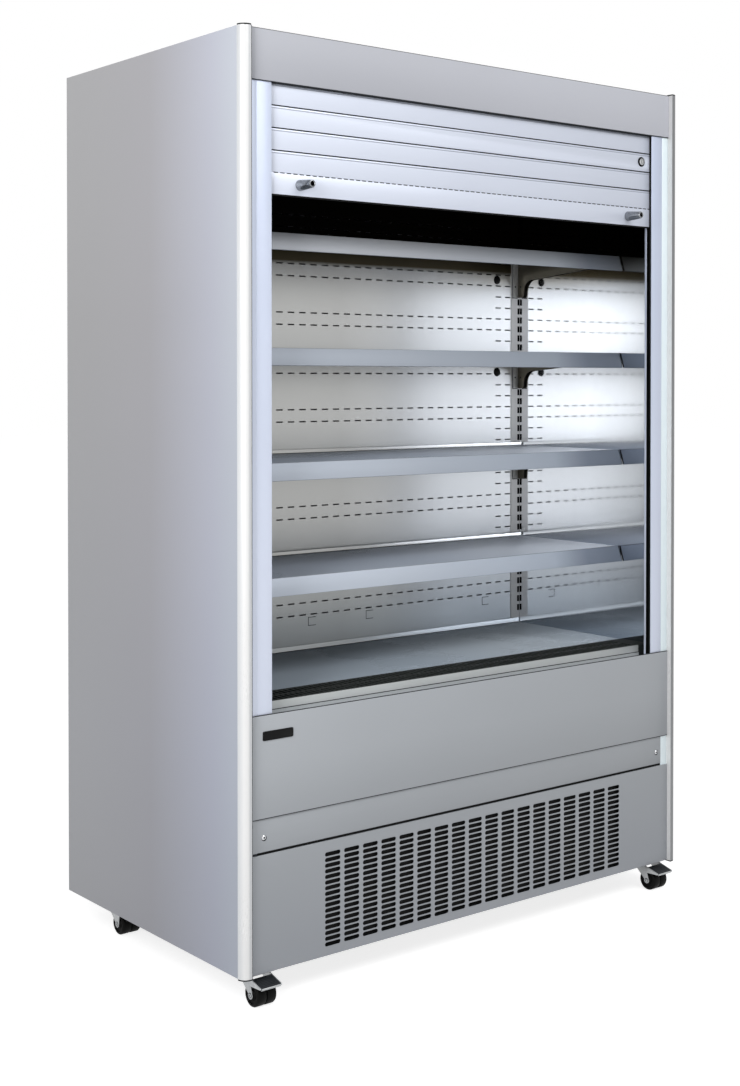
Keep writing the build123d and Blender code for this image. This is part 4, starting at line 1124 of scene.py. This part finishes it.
def makeFork(name, node, x, y, braked):
    mesh, ends = bmesh.new(), bmesh.new()
    inner, sheet, top = castor["forkInner"], castor["forkSheet"], castor["forkTop"]
    trail, axleZ, back = castor["trail"], castor["axleZ"], castor["bridge"]
    outer = inner + sheet
    addBlock(mesh, (x - outer, x + outer), (y + back[0], y + back[1]), (top - sheet, top), 0.5)
    for start in (-outer, inner):
        corners = [at(x + start, y + a, b) for a, b in legOutline(braked)]
        addPrism(mesh, corners, Vector((sheet / 1000, 0, 0)), 0.4)
    addRod(mesh, castor["axle"], 2 * inner, at(x - inner, y - trail, axleZ), (1, 0, 0), 24)
    for side in (-1, 1):
        centre = at(x + side * outer, y - trail, axleZ)
        addTurned(mesh, [(0, 1.8), (3, 1.6), (4.2, 0.8), (4.2, 0), (0, 0)], centre, (side, 0, 0), 24)
        # Painted shade: a dark ring around each axle nut and a dark spot for its bore
        addTurned(ends, [(0, 0.2), (5.6, 0.2), (5.6, 0), (0, 0)], centre, (side, 0, 0), 24)
        addTurned(ends, [(0, 1.95), (1.5, 1.95), (1.5, 1.6), (0, 1.6)], centre, (side, 0, 0), 16)
    finish(ends, f"axleShade{name}", paintedDarkShade, node)
    if braked:
        centre = at(x - inner, y + castor["pinY"], castor["pinZ"])
        addRod(mesh, castor["pin"], 2 * inner, centre, (1, 0, 0), 20)
    finish(mesh, f"castorYoke{name}", zincPlate, node, [node])


def makePedal(name, node, x, y):
    slope = math.radians(castor["pedalSlope"])
    hinge = Vector((castor["pinY"], castor["pinZ"] + castor["knuckle"]))
    along = Vector((-math.cos(slope), -math.sin(slope)))
    down = Vector((math.sin(slope), -math.cos(slope)))
    half, length, lip = castor["pedalHalf"], castor["pedalLength"], castor["pedalLip"]

    def addBar(mesh, outline, inset=0, soft=0):
        # Points of (distance along the tread, depth below its top), drawn out over its width
        spots = [hinge + along * run + down * drop for run, drop in outline]
        corners = [at(x - half + inset, y + s.x, s.y) for s in spots]
        addPrism(mesh, corners, Vector((2 * (half - inset) / 1000, 0, 0)), soft)

    tread = bmesh.new()
    addBar(tread, [(0, 0), (length, 0), (length, 2), (0, 2)], soft=0.4)
    for i in range(castor["ribs"]):
        run = 6 + i * (length - 10) / (castor["ribs"] - 1)
        addBar(tread, [(run - 0.8, -0.9), (run + 0.8, -0.9), (run + 1.2, 0.2), (run - 1.2, 0.2)], inset=3)
    bore, knuckle = castor["pin"] + 0.1, castor["knuckle"]
    ring = [(bore, 0), (knuckle, 0), (knuckle, 2 * half), (bore, 2 * half), (bore, 0)]
    addTurned(tread, ring, at(x - half, y + castor["pinY"], castor["pinZ"]), (1, 0, 0), 24)
    finish(tread, f"ribbedBrakeTread{name}", pedalSteel, node, [node])
    edge = bmesh.new()
    addBar(edge, [
        (length, -0.2), (length + 1.2, 0.4), (length + 1.2, 3),
        (length - 1, lip + 1.5), (length - 2, lip + 1), (length - 0.2, 2.4),
    ], soft=0.3)
    finish(edge, f"brakeTreadEdge{name}", zincPlate, node)


for row in ("Front", "Rear"):
    for side, direction in (("Left", -1), ("Right", 1)):
        name, place = row + side, f"{row}_{side}".lower()
        x, y = direction * castor["x"], castor[row.lower()]
        makeWheels(name, f"castor_wheels_{place}", x, y)
        makeFork(name, f"castor_fork_{place}", x, y, braked=row == "Front")
        if row == "Front":
            makePedal(name, f"brake_pedal_{side.lower()}", x, y)
print("castors made")


# ---- floor, light and camera ----
lightPlan = {
    "world": 0.4, "floorColour": "#bdbdbd", "floorGlow": 0.8,
    "topFront": {"size": (3.2, 1.6), "power": 78, "place": (0.4, -3.4, 3.8), "aim": (0, 0, 1.3)},
    "leftFront": {"size": (0.9, 1.6), "power": 34, "place": (-2.3, -1.25, 1.75), "aim": (-0.6, 0, 1.25)},
    "corner": {"size": (1.4, 2), "power": 9.5, "place": (-3.1, -3.8, 1.25), "aim": (0.5, 0.1, 1.2)},
}
def seenDirectly(tree):
    # 1 for rays from the camera and for what metal and glass show of the background
    path = addNode(tree, "ShaderNodeLightPath")
    first = addNode(tree, "ShaderNodeMath", {"operation": "MAXIMUM"}, {
        0: path.outputs["Is Camera Ray"], 1: path.outputs["Is Glossy Ray"],
    })
    both = addNode(tree, "ShaderNodeMath", {"operation": "MAXIMUM"}, {
        0: first.outputs[0], 1: path.outputs["Is Transmission Ray"],
    })
    return both.outputs[0]


def makeStage():
    bpy.ops.mesh.primitive_plane_add(size=60, location=(0, 0, 0))
    floor = bpy.context.object
    floor.name = "studioFloor"
    material = bpy.data.materials.new("paleStudioFloor")
    material.use_nodes = True
    tree = material.node_tree
    shader = tree.nodes["Principled BSDF"]
    shader.inputs["Base Color"].default_value = linear(lightPlan["floorColour"])
    shader.inputs["Roughness"].default_value = 0.95
    shader.inputs["Specular IOR Level"].default_value = 0
    shader.inputs["Emission Color"].default_value = (1, 1, 1, 1)
    glow = addNode(tree, "ShaderNodeMath", {"operation": "MULTIPLY", 1: lightPlan["floorGlow"]}, {
        0: seenDirectly(tree),
    })
    tree.links.new(glow.outputs[0], shader.inputs["Emission Strength"])
    floor.data.materials.append(material)

    world = bpy.data.worlds.new("paleStudio")
    bpy.context.scene.world = world
    world.use_nodes = True
    tree = world.node_tree
    strength = addNode(tree, "ShaderNodeMapRange", {"To Min": lightPlan["world"], "To Max": 1.0}, {
        "Value": seenDirectly(tree),
    })
    background = tree.nodes["Background"]
    background.inputs["Color"].default_value = (1, 1, 1, 1)
    tree.links.new(strength.outputs["Result"], background.inputs["Strength"])


def addSoftbox(name, spec):
    lamp = bpy.data.lights.new(name, "AREA")
    lamp.shape = "RECTANGLE"
    lamp.size, lamp.size_y = spec["size"]
    lamp.energy = spec["power"]
    light = bpy.data.objects.new(name, lamp)
    bpy.context.scene.collection.objects.link(light)
    light.location = spec["place"]
    light.rotation_euler = (Vector(spec["aim"]) - Vector(spec["place"])).to_track_quat("-Z", "Y").to_euler()


makeStage()
for name in ("topFront", "leftFront", "corner"):
    addSoftbox(f"{name}Softbox", lightPlan[name])

view = {"place": (-2.4656, -3.0366, 1.2921), "pitch": 0.842, "yaw": 38.552, "lens": 52.70, "shiftY": -0.129}


def makeCamera():
    data = bpy.data.cameras.new("photoCamera")
    camera = bpy.data.objects.new("photoCamera", data)
    bpy.context.scene.collection.objects.link(camera)
    data.sensor_width = 36
    data.lens = view["lens"]
    data.shift_y = view["shiftY"]
    data.clip_end = 100
    camera.location = view["place"]
    camera.rotation_euler = (math.radians(90 - view["pitch"]), 0, math.radians(-view["yaw"]))
    bpy.context.scene.camera = camera
    bpy.context.scene.view_settings.view_transform = "Standard"


makeCamera()
print("stage and camera made")
